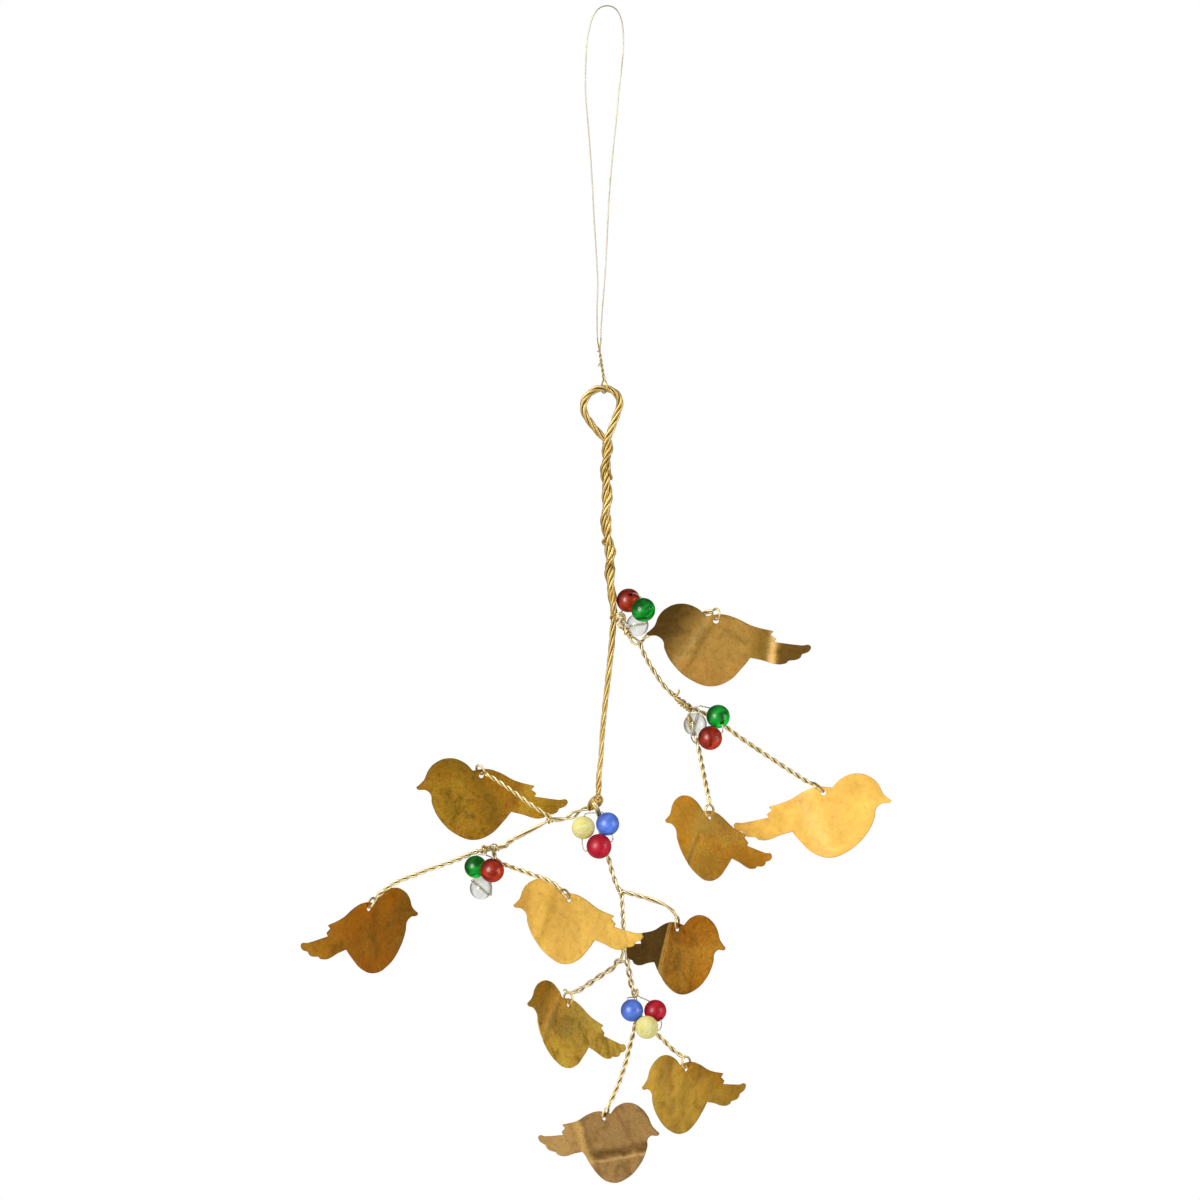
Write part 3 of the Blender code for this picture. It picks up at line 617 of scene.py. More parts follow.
shape = Shape()
pair(shape, left_points[:6], 0.0078, seed=6, cross=8.5, uneven=0.25,
     radius=[(0, STRAND), (9, STRAND), (17, STRAND * 2.1), (26, STRAND), (42, STRAND * 1.1)])
pair(shape, [(551.6, 818.4, -3.3)] + left_points[6:], [(0, 0.020), (32, 0.026), (40, 0.0040), (60, 0.0040), (72, 0.0090), (90, 0.0090)],
     seed=7, cross=43, radius=STRAND * 1.05)
windings(shape, [(552, 818.6, -3.2), (547.6, 821.4, -3.3)], 1.4, 0.00050, 2.4)
shape.make("left_branch_pair", BRASS_PAIR, "frame", ["left_branch"])

shape = Shape()
windings(shape, [(498.5, 848.2, -2.72), (492, 848.9, -2.65)], 2.0, 0.00060, 5.0, FINE)
windings(shape, [(489, 849.0, -2.6), (480.4, 850.6, -2.6)], 2.2, 0.00056, 6.0, STRAND * 0.9)
single(shape, [(497.6, 846.6, -3.2), (495.4, 844.2, -3.6), (491.4, 845, -3.6), (489.4, 848.6, -3.2)], FINE)
single(shape, [(493.2, 850, -3.4), (490.6, 846.8, -3.7), (487.6, 846.6, -3.6), (485.4, 850, -3.2)], FINE)
single(shape, [(485.8, 847.4, -3.2), (483.6, 845.8, -3.4), (482, 847, -3.3)], STRAND * 0.8)
single(shape, [(502, 846.6, -3.3), (505.4, 847.6, -3.4), (508.6, 845.2, -3.3)], FINE)
shape.make("left_knot_turns", BRASS_DULL, "frame", ["left_knot"])

# ball of turns at the stem's foot, where the two lower branches start
shape = Shape()
THICK = STRAND * 1.2
loop_of(shape, 595.8, 802.4, 0.5, 4.8, 4.2, 0, 370, 0, 0.6, THICK)
single(shape, [(599.0, 794.2, -0.2), (597.8, 795.8, -0.7), (594.8, 797.2, -1.0), (592.0, 798.9, -1.0), (590.0, 801.8, -0.9),
               (589.0, 805.0, -0.7), (589.4, 808.2, -0.4), (591.6, 809.4, -0.2)], THICK)
single(shape, [(598.0, 797.6, -0.8), (594.8, 798.8, -1.2), (592.4, 801.2, -1.2), (591.3, 804.4, -1.0), (591.5, 807.2, -0.7),
               (593.4, 808.6, -0.3)], THICK)
single(shape, [(596.4, 796.6, -0.3), (599.6, 796.4, -0.8), (601.8, 798.6, -1.0), (601.6, 801.6, -1.1), (599.0, 804.4, -1.2),
               (595.8, 806.6, -1.1), (592.4, 808.8, -0.7), (589.8, 809.4, -0.3)], THICK)
single(shape, [(595.4, 799.0, -1.0), (598.2, 798.2, -1.5), (600.0, 799.8, -1.6), (599.3, 802.2, -1.7), (596.9, 804.4, -1.6),
               (593.8, 806.6, -1.2), (591.4, 807.6, -0.8)], THICK)
single(shape, [(593.6, 800.8, -1.3), (596.3, 800.2, -1.8), (597.7, 801.5, -1.9), (596.3, 803.5, -1.9), (593.8, 805.4, -1.4)], THICK)
loop_of(shape, 590.4, 808.0, -0.3, 2.4, 1.9, 100, 340, -20, 0.4)
shape.make("stem_knot_turns", BRASS_DULL, "frame", ["stem_knot"])

shape = Shape()
single(shape, [(591.6, 801.4, -1.4), (594.0, 805.2, -2.2), (596.4, 810.2, -2.0), (598.4, 816.4, -0.9), (599.6, 823, 0.5)], THICK)
single(shape, [(593.5, 800.7, -1.5), (596.0, 804.6, -2.3), (598.4, 809.6, -2.0), (600.2, 815.8, -0.8), (600.8, 823, 0.6)], THICK)
pair(shape, centre_points[1:7], 0.0042, seed=8, phase=0.9, radius=STRAND * 1.1)
pair(shape, [(621.4, 891.4, 0)] + centre_points[7:], 0.0040, seed=9, phase=0.2)
windings(shape, [(619.8, 889.6, 0.05), (622.4, 894.4, 0)], 1.3, 0.00048, 9.0)
windings(shape, [(624.1, 947.6, 0), (624.2, 951, 0)], 1.2, 0.00044, 9.6)
# the two strands part here and each takes up a new wire
single(shape, [(624, 947.4, 0.2), (622.8, 953, 0), (621.4, 958.6, -0.2), (622.2, 961.4, -0.6), (625.2, 961.2, -0.5)], STRAND * 1.1)
single(shape, [(624.4, 947.4, -0.2), (626.0, 953, 0), (626.4, 959.6, 0.2)], STRAND * 1.1)
shape.make("centre_branch_pair", BRASS_PAIR, "frame", ["centre_branch"])

shape = Shape()
pair(shape, lower_branch_points, 0.0047, STRAND * 1.65, 0.5, 10, 1.0)
single(shape, [(634.6, 990, -0.4), (637.4, 990.2, -0.5), (637.2, 994, -0.5), (634.6, 996.6, -0.3), (633.4, 993.6, 0.4)])
shape.make("lower_branch_pair", BRASS_PAIR, "frame", ["lower_branch"])

# ------------------------------------------------------------------ birds
OUTLINE = [
    (-68.8, -13.0, 0), (-66.0, -10.0, 0), (-61.4, -5.4, 0), (-57.0, 4.6, 0), (-50.0, 12.0, 0),
    (-36.0, 17.0, 0), (-20.0, 13.2, 0), (-9.6, 4.6, 1), (5.8, 6.4, 0), (19.0, 3.0, 0),
    (37.0, -5.4, 0), (57.6, -10.4, 1), (54.4, -14.0, 1), (59.8, -17.9, 1), (58.2, -21.2, 1),
    (85.0, -24.6, 0), (94.0, -25.2, 0), (93.4, -29.6, 0), (85.6, -33.6, 1), (83.2, -37.4, 0),
    (72.2, -40.0, 1), (69.6, -42.6, 1), (62.0, -43.6, 0), (45.0, -39.2, 0), (34.2, -37.0, 1),
    (26.6, -46.4, 0), (12.4, -60.0, 0), (-4.4, -65.4, 0), (-20.8, -61.2, 0), (-40.4, -46.4, 0),
    (-51.2, -28.4, 0), (-52.8, -20.2, 0), (-58.4, -15.4, 0),
]
SHEET_T = 0.00025
HOLE_R = 0.00060
HOLE_DROP = 0.00018


def flat_bird():
    """Flat sheet with an even grid inside, cut to the outline; returns the mesh and each point's distance to the cut."""
    curve = bpy.data.curves.new("bird_outline", 'CURVE')
    curve.dimensions = '2D'
    curve.fill_mode = 'BOTH'
    curve.extrude = 0.001
    curve.resolution_u = 8
    rim = curve.splines.new('BEZIER')
    rim.bezier_points.add(len(OUTLINE) - 1)
    rim.resolution_u = 8
    for knot, (a, b, sharp) in zip(rim.bezier_points, OUTLINE):
        knot.co = (a * UNIT, b * UNIT - HOLE_DROP, 0)
        knot.handle_left_type = knot.handle_right_type = 'VECTOR' if sharp else 'AUTO'
    rim.use_cyclic_u = True
    punched = curve.splines.new('POLY')
    punched.points.add(27)
    for i, knot in enumerate(punched.points):
        a = 2 * math.pi * i / 28
        knot.co = (HOLE_R * math.cos(a), HOLE_R * math.sin(a) - HOLE_DROP, 0, 1)
    punched.use_cyclic_u = True
    cutter = bpy.data.objects.new("bird_outline", curve)
    scene.collection.objects.link(cutter)
    bpy.context.view_layer.update()
    solid = bpy.data.meshes.new_from_object(cutter.evaluated_get(bpy.context.evaluated_depsgraph_get()))
    bpy.data.objects.remove(cutter)
    bm = bmesh.new()
    bm.from_mesh(solid)
    bmesh.ops.remove_doubles(bm, verts=bm.verts, dist=1e-6)
    bmesh.ops.recalc_face_normals(bm, faces=bm.faces)
    outline = np.array([[e.verts[0].co[:2], e.verts[1].co[:2]] for e in bm.edges
                        if e.verts[0].co.z > 0 and e.verts[1].co.z > 0
                        and any(abs(f.normal.z) < 0.5 for f in e.link_faces)])
    bm.to_mesh(solid)
    bm.free()
    prism = bpy.data.objects.new("bird_prism", solid)
    scene.collection.objects.link(prism)
    # slab with an even grid on both faces
    bm = bmesh.new()
    bmesh.ops.create_grid(bm, x_segments=96, y_segments=52, size=0.5)
    bmesh.ops.scale(bm, vec=(0.0372, 0.0196, 1), verts=bm.verts)
    bmesh.ops.translate(bm, vec=(12.37 * UNIT, -24.31 * UNIT - HOLE_DROP, -SHEET_T / 2), verts=bm.verts)
    geo = bmesh.ops.extrude_face_region(bm, geom=bm.faces[:])
    bmesh.ops.translate(bm, vec=(0, 0, SHEET_T), verts=[g for g in geo["geom"] if isinstance(g, bmesh.types.BMVert)])
    bmesh.ops.recalc_face_normals(bm, faces=bm.faces)
    mesh = bpy.data.meshes.new("bird_flat")
    bm.to_mesh(mesh)
    bm.free()
    slab = bpy.data.objects.new("bird_flat", mesh)
    scene.collection.objects.link(slab)
    cut = slab.modifiers.new("cut", 'BOOLEAN')
    cut.operation = 'INTERSECT'
    cut.object = prism
    bpy.context.view_layer.update()
    flat = bpy.data.meshes.new_from_object(slab.evaluated_get(bpy.context.evaluated_depsgraph_get()))
    for o in (slab, prism):
        bpy.data.objects.remove(o)
    co = np.array([v.co[:] for v in flat.vertices])
    a, b = outline[:, 0], outline[:, 1]
    d = b - a
    away = np.full(len(co), 1.0)
    for p0, dd in zip(a, d):
        t = np.clip(((co[:, :2] - p0) @ dd) / max(dd @ dd, 1e-14), 0, 1)
        away = np.minimum(away, np.linalg.norm(co[:, :2] - p0 - t[:, None] * dd, axis=1))
    return flat, co, away


FLAT, FLAT_CO, FLAT_EDGE = flat_bird()


def bend(co, folds, ridges, seed, dents, toward):
    """Bent sheet from its flat state.

    A fold is (a, b, way of its line in degrees, turn in degrees, width): the side away from the hole
    turns, + towards the front.  A ridge is (a, b, way, height in mm, width)."""
    def side(x, y, a, b, way):
        w = math.radians(way)
        return (x - a * UNIT) * math.sin(w) - (y - b * UNIT) * math.cos(w)

    def height(x, y):
        h = np.zeros_like(x)
        for a, b, way, turn, width in folds:
            s = side(x, y, a, b, way)
            if side(0.0, 0.0, a, b, way) > 0:
                s = -s
            k = width * UNIT
            h += math.tan(math.radians(turn)) * k * np.logaddexp(0, s / k)
        for a, b, way, high, width in ridges:
            s = side(x, y, a, b, way)
            h += high * MM * np.exp(-(s / (width * UNIT)) ** 2)
        soft = np.zeros_like(x)
        for i in range(len(x)):
            p = Vector((x[i] * 130, y[i] * 130, seed * 5.3))
            soft[i] = noise.noise(p) + 0.40 * noise.noise(p * 2.3) + 0.10 * noise.noise(p * 6.0)
        return toward * (h + dents * MM * soft)
    x, y, z = co.T
    e = 1.5e-4
    h = height(x, y)
    at0 = height(np.array([0.0]), np.array([0.0]))[0]
    gx = (height(x + e, y) - height(x - e, y)) / (2 * e)
    gy = (height(x, y + e) - height(x, y - e)) / (2 * e)
    n = np.stack([-gx, -gy, np.ones_like(gx)], 1)
    n /= np.linalg.norm(n, axis=1)[:, None]
    return np.stack([x, y, h - at0], 1) + n * z[:, None]


def facing(side, yaw):
    a = math.radians(yaw)
    return Vector((-side * math.cos(a), math.sin(a), 0.0))


BIRDS = {
    1: ((716.0, 619.8, -6.5), -1, 3.0, 0.0, 0.0),
    2: ((709.4, 816.0, -6.0), -1, -53.0, 6.0, 6.0),
    3: ((823.4, 791.8, 7.0), 1, 16.0, 4.5, 0.0),
    4: ((481.5, 774.4, 1.0), -1, 22.0, 1.0, 7.0),
    5: ((368.7, 907.6, -5.0), 1, -48.5, 4.0, -2.0),
    6: ((568.8, 898.6, -6.5), -1, -39.0, 4.0, 3.0),
    7: ((677.2, 928.0, -2.0), 1, 46.5, -3.0, -3.0),
    8: ((568.0, 1003.6, -4.0), -1, 55.0, 14.5, -11.0),
    9: ((686.2, 1067.8, 4.0), -1, -51.5, -9.5, -10.5),
    10: ((603.6, 1117.0, -5.0), 1, 41.0, 0.5, -10.0),
}
# folds, ridges and dents (mm) of each sheet
BENDS = {
    1: ([(-20, -14, 56, -4, 5), (52, -30, 84, 15, 2.4), (61, -30, 84, -16, 0.8), (10, -46, 10, 3, 8)],
        [(-20, -14, 56, 0.06, 4), (-11, -16, 60, -0.06, 3)], 0.14),
    2: ([(-14, -16, 62, 1.5, 3), (45, -30, 80, -3, 8)], [(-20, -26, 66, 0.07, 3), (-12, -14, 60, -0.05, 2.5)], 0.16),
    3: ([(-40, -20, 85, -1, 14), (0, -16, 4, 12, 8)], [], 0.06),
    4: ([(-40, -10, 95, 2, 10), (48, -30, 85, -2, 10), (34, -30, 70, 2, 4)], [], 0.18),
    5: ([(-30, -20, 80, 2, 10), (0, -48, 5, 5, 6), (52, -30, 85, -3, 8)], [], 0.18),
    6: ([(-16, -4, 75, 3, 6)], [(-24, -4, 70, -0.05, 6)], 0.11),
    7: ([(16, -14, 108, -10, 1.0), (-30, -20, 85, 2, 10)], [(14, -14, 108, 0.05, 1.6), (18.6, -14, 108, 0.03, 1.0)], 0.13),
    8: ([(-32, -27, 61, 3, 4), (55, -30, 85, 2, 8)], [(-35, -27, 61, 0.08, 3), (-29, -28, 61, -0.05, 3)], 0.15),
    9: ([(-30, -25, 88, -2, 14), (52, -30, 80, 2, 6)], [], 0.18),
    10: ([(-14, -34, -11, 6, 1.2), (-26, -10, 62, -3, 1.8), (26, -20, 73, -3, 4)],
         [(-16, -32, -11, -0.13, 3.0), (-26, -10, 62, -0.05, 2.4), (26, -20, 73, -0.05, 4)], 0.13),
}
# the pale colour is a painted highlight laid along the ridges of folds; the umber colour is painted shade along the
# creases of birds 1, 2, 8 and 10 and darker bands on other birds
UMBER, OLIVE, RUST, RIDGE_GLINT = (0.24, 0.12, 0.028), (0.40, 0.245, 0.040), (0.66, 0.26, 0.042), (0.98, 0.68, 0.24)
SHEETS = {
    # gold, olive, orange, roughness, stains and painted light
    # bird 1: the dark head is a painted dark reflection, the pale band on the ridge a painted highlight, the umber band
    # in the crease painted shade and the bright band at the tail base a painted glint; it is also more orange at the
    # belly and darker towards the tail
    1: ((0.86, 0.48, 0.105), (0.66, 0.37, 0.078), (0.88, 0.46, 0.100), 0.27,
        [("beyond", -27, -4, 238, 18, (0.125, 0.062, 0.013), 0.92), ("along", -20, -14, 56, 6, RIDGE_GLINT, 0.35), ("along", -11, -16, 60, 5, UMBER, 0.35),
         ("beyond", 0, -46, 0, 14, (0.88, 0.44, 0.09), 0.60), ("beyond", 36, -15, 84, 10, (0.46, 0.25, 0.030), 0.75),
         ("along", 56, -30, 84, 8, (1.0, 0.62, 0.22), 0.80), ("beyond", 63, -30, 84, 2.4, (0.21, 0.10, 0.022), 0.75)]),
    # bird 2: the pale band on the ridge is a painted highlight and the umber band in the crease painted shade; it is
    # also lighter over the upper part, darker towards the bottom and more orange at the head
    2: ((1.0, 0.50, 0.048), (0.84, 0.42, 0.040), (1.0, 0.475, 0.045), 0.28,
        [("along", -24, -28, 66, 4, RIDGE_GLINT, 0.25), ("along", -10, -10, 60, 4, UMBER, 0.40), ("along", -36, -6, 60, 8, OLIVE, 0.18),
         ("beyond", 0, -20, 180, 9, (1.0, 0.66, 0.110), 0.85), ("beyond", 0, -36, 0, 10, (0.64, 0.35, 0.048), 0.60), ("beyond", -22, -10, 242, 10, (0.90, 0.385, 0.022), 0.75)]),
    3: ((0.88, 0.52, 0.105), (0.84, 0.49, 0.095), (0.90, 0.52, 0.10), 0.32,
        [("along", 20, -8, 70, 16, (0.95, 0.62, 0.20), 0.45), ("along", -12, -34, 80, 14, (0.82, 0.47, 0.11), 0.40)]),
    4: ((0.71, 0.38, 0.034), (0.48, 0.26, 0.022), (0.73, 0.33, 0.028), 0.28,
        [("along", 8, -28, 118, 18, (0.36, 0.205, 0.020), 0.60), ("along", 32, -32, 60, 9, RUST, 0.50),
         ("beyond", -34, 2, 180, 12, (0.36, 0.205, 0.020), 0.60), ("beyond", 44, -28, 85, 8, (1.0, 0.58, 0.062), 0.95)]),
    5: ((0.60, 0.275, 0.028), (0.42, 0.195, 0.020), (0.64, 0.25, 0.024), 0.28,
        [("along", -6, -10, 100, 10, UMBER, 0.40), ("beyond", 0, -46, 0, 12, (0.66, 0.25, 0.026), 0.60),
         ("beyond", -42, 0, 262, 10, (0.40, 0.215, 0.022), 0.50)]),
    # bird 6: the olive band below the head is painted shade
    6: ((0.92, 0.565, 0.115), (0.87, 0.525, 0.10), (0.92, 0.55, 0.11), 0.32,
        [("along", -20, 0, 70, 10, (0.66, 0.40, 0.060), 0.45)]),
    # bird 7: the dark beyond the crease is painted shade over the tail and the two pale bands on the crease are painted
    # highlights; the umber bands are darker streaks and the head is more orange
    7: ((0.61, 0.295, 0.035), (0.43, 0.205, 0.025), (0.64, 0.30, 0.034), 0.26,
        [("along", -22, -20, 94, 6, UMBER, 0.30), ("along", -2, -34, 92, 6, UMBER, 0.35), ("along", 8, -16, 106, 6, UMBER, 0.35),
         ("beyond", 18, -14, 108, 1.6, (0.125, 0.062, 0.009), 0.88), ("along", 13.0, -14, 108, 1.1, RIDGE_GLINT, 0.40),
         ("along", 16.4, -14, 108, 1.1, RIDGE_GLINT, 0.45),
         ("beyond", -24, -10, 262, 12, (0.84, 0.40, 0.044), 0.80)]),
    # bird 8: the pale band on the ridge is a painted highlight and the umber band in the crease painted shade; it is
    # also lighter over the upper part and darker olive at the head
    8: ((1.0, 0.62, 0.086), (0.82, 0.50, 0.058), (0.96, 0.59, 0.082), 0.34,
        [("beyond", 4, -14, 180, 9, (1.0, 0.68, 0.115), 0.55), ("beyond", -36, -10, 236, 10, (0.39, 0.285, 0.040), 0.80), ("along", -35, -27, 61, 2.6, RIDGE_GLINT, 0.50),
         ("along", -28, -28, 61, 4, UMBER, 0.30)]),
    9: ((0.72, 0.415, 0.054), (0.58, 0.33, 0.040), (0.70, 0.385, 0.048), 0.28,
        [("along", -24, -8, 100, 9, (0.46, 0.225, 0.045), 0.45), ("along", 6, -34, 60, 9, (0.50, 0.28, 0.040), 0.30),
         ("beyond", -38, -4, 262, 9, (1.0, 0.57, 0.074), 0.75), ("beyond", 34, -22, 82, 10, (0.58, 0.33, 0.038), 0.65)]),
    # bird 10: the dark bands along the belly crease and the two other folds are painted shade; the pale band beside the
    # belly crease and the light band and patch towards the tail are painted highlights
    10: ((0.47, 0.27, 0.092), (0.37, 0.205, 0.066), (0.50, 0.285, 0.100), 0.27,
         [("along", -17, -34, -11, 7, (0.17, 0.085, 0.022), 0.90), ("along", -17, -40.5, -11, 2.4, (0.84, 0.52, 0.19), 0.60), ("along", -26, -10, 62, 4.5, (0.32, 0.14, 0.042), 0.50), ("along", 26, -20, 73, 7, UMBER, 0.40), ("along", 35, -22, 78, 9, (0.90, 0.54, 0.16), 0.75),
          ("beyond", 42, -26, 80, 10, (0.72, 0.425, 0.14), 0.75)]),
}
# how speckled and rubbed each sheet is
WEAR = {1: 0.8, 2: 0.8, 3: 0.05, 4: 1.8, 5: 0.7, 6: 0.4, 7: 1.4, 8: 1.8, 9: 0.6, 10: 0.9}

for n, (spot, side, yaw, tilt, lean) in BIRDS.items():
    tail = facing(side, yaw)
    top = Matrix.Rotation(math.radians(lean), 3, tail) @ UP
    normal = tail.cross(top)
    mesh = FLAT.copy()
    mesh.name = "bird_%d_sheet" % n
    folds, ridges, dents = BENDS[n]
    co = bend(FLAT_CO, folds, ridges, n, dents, -side)
    mesh.vertices.foreach_set("co", co.astype(np.float32).ravel())
    att = mesh.attributes.new("edge", 'FLOAT', 'POINT')
    att.data.foreach_set("value", FLAT_EDGE.astype(np.float32))
    mesh.update()
    mesh.materials.clear()
    gold, olive, orange, rough, stain_and_painted_light_marks = SHEETS[n]
    mesh.materials.append(sheet_brass("bird_%d_brass" % n, gold, olive, orange, rough, n * 1.37, stain_and_painted_light_marks, WEAR[n]))
    mesh.shade_smooth()
    mesh.set_sharp_from_angle(angle=math.radians(40))
    obj = bpy.data.objects.new("bird_%d_sheet" % n, mesh)
    obj.matrix_world = (Matrix.Translation(at(*spot)) @ Matrix((tail, top, normal)).transposed().to_4x4()
                        @ Matrix.Rotation(math.radians(-tilt), 4, 'Z'))
    scene.collection.objects.link(obj)
    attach(obj, "bird_%d" % n)
    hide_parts("bird_%d" % n)

# wires that carry the birds: one wire folded through the hole and twisted on itself
BIRD_WIRES = {
    # number: fold's look, tip and radius, arrival angle, sweep, route of the pair
    1: (40, 0, 1.15, -60, 310, [(640.6, 641.6, 0.0), (645.6, 637.2, 0.2), (651, 632.6, -0.4), (664, 627.4, -1.6),
                                (684, 620.8, -3.4), (698, 615.8, -4.6), (706.4, 612.4, -5.2)]),
    2: (-49, 0, 1.15, 0, 310, [(689.4, 713.4, 1.0), (692.4, 725, 1.5), (695.2, 735, 1.4), (698, 745, 0.8),
                               (701.4, 762, -1.0), (705.4, 782, -3.4), (708.6, 797.6, -5.6)]),
    3: (-16, -50, 1.46, 35, -310, [(693.4, 708.6, 0.6), (706, 714.4, 1.9), (716, 720.4, 2.1), (725, 726.4, 2.2),
                                   (745, 741, 2.8), (778, 763, 4.0), (798, 776, 4.9), (805, 780.4, 5.3), (809.6, 782.8, 5.8)]),
    4: (45, -23, 1.05, 115, -310, [(550.4, 817.6, -3.6), (545.4, 813.6, -4.3), (533, 806, -4.2), (516, 793.6, -3.2),
                                   (499.4, 782, -1.9), (491, 776.8, -1.2), (487.6, 775, -0.9)]),
    5: (30, 30, 1.16, 60, -310, [(478, 851, -2.6), (474.4, 852.2, -2.6), (453.6, 861, -3.2), (430.6, 869, -4.2),
                                 (415, 875, -4.9), (400, 880.6, -5.6), (387, 888, -6.2), (378.6, 895.4, -6.2)]),
    6: (-30, -34, 1.12, 50, -310, [(493, 850, -1.4), (494, 853.4, -0.8), (496.6, 859.6, -1.2), (501.6, 863.2, -2.2),
                                   (508, 865.8, -3.2), (519.4, 870, -4.5), (531.6, 874.4, -5.6),
                                   (544, 878.6, -6.7), (554, 883.8, -7.4), (559.6, 888.4, -7.6)]),
    7: (-20, 0, 1.15, 20, -310, [(623, 892, 0), (628.4, 893.2, -0.2), (637, 895.4, -0.6), (652.5, 900, -1.6),
                                 (664, 904.6, -2.4), (671.6, 910, -2.7)]),
    8: (51, 0, 1.15, 30, -310, [(622.4, 961.0, -0.3), (617.0, 961.6, -0.5), (614.4, 967.0, -0.8), (606, 972.4, -1.4),
                                (593, 981, -2.6), (583, 987.8, -3.7), (577.6, 990.8, -4.2)]),
    9: (-49, 0, 1.15, 20, -310, [(637, 1014, 0.9), (642.4, 1018.6, 1.4), (648.6, 1027, 1.8), (656.9, 1034.4, 2.3),
                                 (664, 1041, 2.7), (672.5, 1049.4, 3.2), (678.4, 1054, 3.4)]),
    10: (-30, 27, 1.06, 0, 310, [(636.2, 1016, 0.8), (635.2, 1024.6, 0.6), (633.4, 1033, 0.2), (630, 1046, -0.8),
                                 (625.6, 1063, -2.2), (619.6, 1081, -3.6), (613.4, 1096, -4.7), (609.8, 1103.4, -5.3)]),
}
LOOSE = {8: (1.4, 1.35)}          # spread and length of the turns where the twist is loose
SLACK = {7: [(0, 0.0036), (22, 0.0042), (34, 0.0130), (60, 0.0200)]}     # pitch along the wire where it changes
for n, (look, tip, ring, first, sweep, path) in BIRD_WIRES.items():
    hole = at(*BIRDS[n][0])
    a = math.radians(look)
    front = Vector((math.sin(a), -math.cos(a), 0.0))
    b = math.radians(tip)
    rise = UP * math.cos(b) + Vector((math.cos(a), math.sin(a), 0.0)) * math.sin(b)
    ring = ring * MM
    centre = hole + rise * ring
    way = 1 if sweep > 0 else -1
    fold = []
    for i in range(49):
        b = math.radians(first + way * (24 + 312 * i / 48))
        fold.append((centre + rise * (ring * math.cos(b)) + front * (ring * math.sin(b)))[:])
    fold = np.array(fold)
    line = route(path, 0.00022)
    # end the twist a little before the fold, its two strands opening towards the fold's ends
    span = np.array(fold[0] - fold[-1])
    t, side1, side2 = frames(line)
    total = arc(line)
    loose, length = LOOSE.get(n, (1.0, 1.0))
    pitch = np.interp(total / UNIT, *zip(*SLACK[n])) if n in SLACK else np.full(len(total), PITCH * length)
    wind = np.sum(np.diff(total) / (0.5 * (pitch[1:] + pitch[:-1]))) * 2 * math.pi
    want = math.atan2(span @ side2[-1], span @ side1[-1])
    twisted = lay(line, 2, STRAND * loose, pitch, phase=want - wind, uneven=0.0, seed=n)
    shape = Shape()
    whole = blendline(twisted[0], fold, twisted[1][::-1])
    n0 = len(line)
    middle = np.vstack([line, np.repeat(fold.mean(0)[None], len(whole) - 2 * n0, 0), line[::-1]])
    shape.tube(whole, STRAND, 8, axis=middle)
    if n == 8:
        shape.tube(route([(571, 994, -4.9), (567.6, 991.4, -5.2), (564.8, 989.4, -5.2), (563.6, 991, -5.0)], 0.00013),
                   STRAND * 0.8, 8)
    shape.make("bird_%d_wire_pair" % n, BRASS_PAIR, "frame", ["bird_%d_wire" % n])

# ------------------------------------------------------------------ beads
CLUSTERS = {
    1: ((620.8, 612.6, 1.9), [("red", 628.5, 600.4, 1.3, 11.6), ("green", 643.3, 609.8, -2.5, 11.6),
                              ("clear", 637.4, 624.9, 2.6, 10.8)]),
    2: ((696.6, 707.0, -1.2), [("clear", 695.2, 724.5, -1.8, 11.2), ("red", 710.1, 738.0, -4.7, 11.6),
                               ("green", 718.1, 716.5, -1.8, 11.4)]),
    3: ((484.0, 854.6, -3.9), [("green", 475.6, 866.8, -2.6, 10.8), ("clear", 481.1, 888.1, -1.4, 10.8),
                               ("red", 492.1, 870.4, -6.1, 11.6)]),
    4: ((596.4, 812.4, -1.9), [("yellow", 583.3, 827.6, -2.9, 11.1), ("crimson", 599.0, 846.3, -3.6, 12.0),
                               ("blue", 607.6, 823.9, -2.5, 11.2)]),
    5: ((636.6, 997.0, -1.4), [("blue", 631.9, 1010.4, -2.5, 10.8), ("yellow", 646.8, 1027.3, -5.3, 11.1),
                               ("crimson", 655.3, 1010.8, -2.2, 10.8)]),
}


def bead(name, kind, centre, direction, radius, seed, body):
    """Drilled bead turned from a half section, its hole's rim rounded, slightly out of round."""
    hole = 0.00034
    top = math.acos(hole * 1.45 / radius)
    section = []
    for i in range(19):
        a = top - 2 * top * i / 18
        section.append((radius * math.cos(a), radius * math.sin(a)))
    h = radius * math.sin(top)
    lip = hole * 0.45
    rim = [(hole + lip * (1 - math.sin(x)), h - lip * 0.9 * (1 - math.cos(x))) for x in (0.5, 1.0, 1.5)]
    section = section + [(x, -z) for x, z in rim] + [(hole, 0.0)] + rim[::-1]
    segments = 56
    verts, faces = [], []
    m = len(section)
    for j in range(segments):
        a = 2 * math.pi * j / segments
        for x, z in section:
            p = Vector((x * math.cos(a), x * math.sin(a), z))
            p *= 1 + 0.006 * noise.noise(p * 170 + Vector((seed, 0, seed)))
            verts.append(p)
    for j in range(segments):
        k = (j + 1) % segments
        for i in range(m):
            q = (i + 1) % m
            faces.append((j * m + i, j * m + q, k * m + q, k * m + i))
    mesh = bpy.data.meshes.new(name)
    mesh.from_pydata(verts, [], faces)
    mesh.materials.append(GLASS[kind])
    mesh.shade_smooth()
    obj = bpy.data.objects.new(name, mesh)
    obj.matrix_world = Matrix.Translation(centre) @ direction.to_track_quat('Z', 'Y').to_matrix().to_4x4()
    scene.collection.objects.link(obj)
    BEADS.append(obj)
    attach(obj, body)
    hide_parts(body)
    return obj


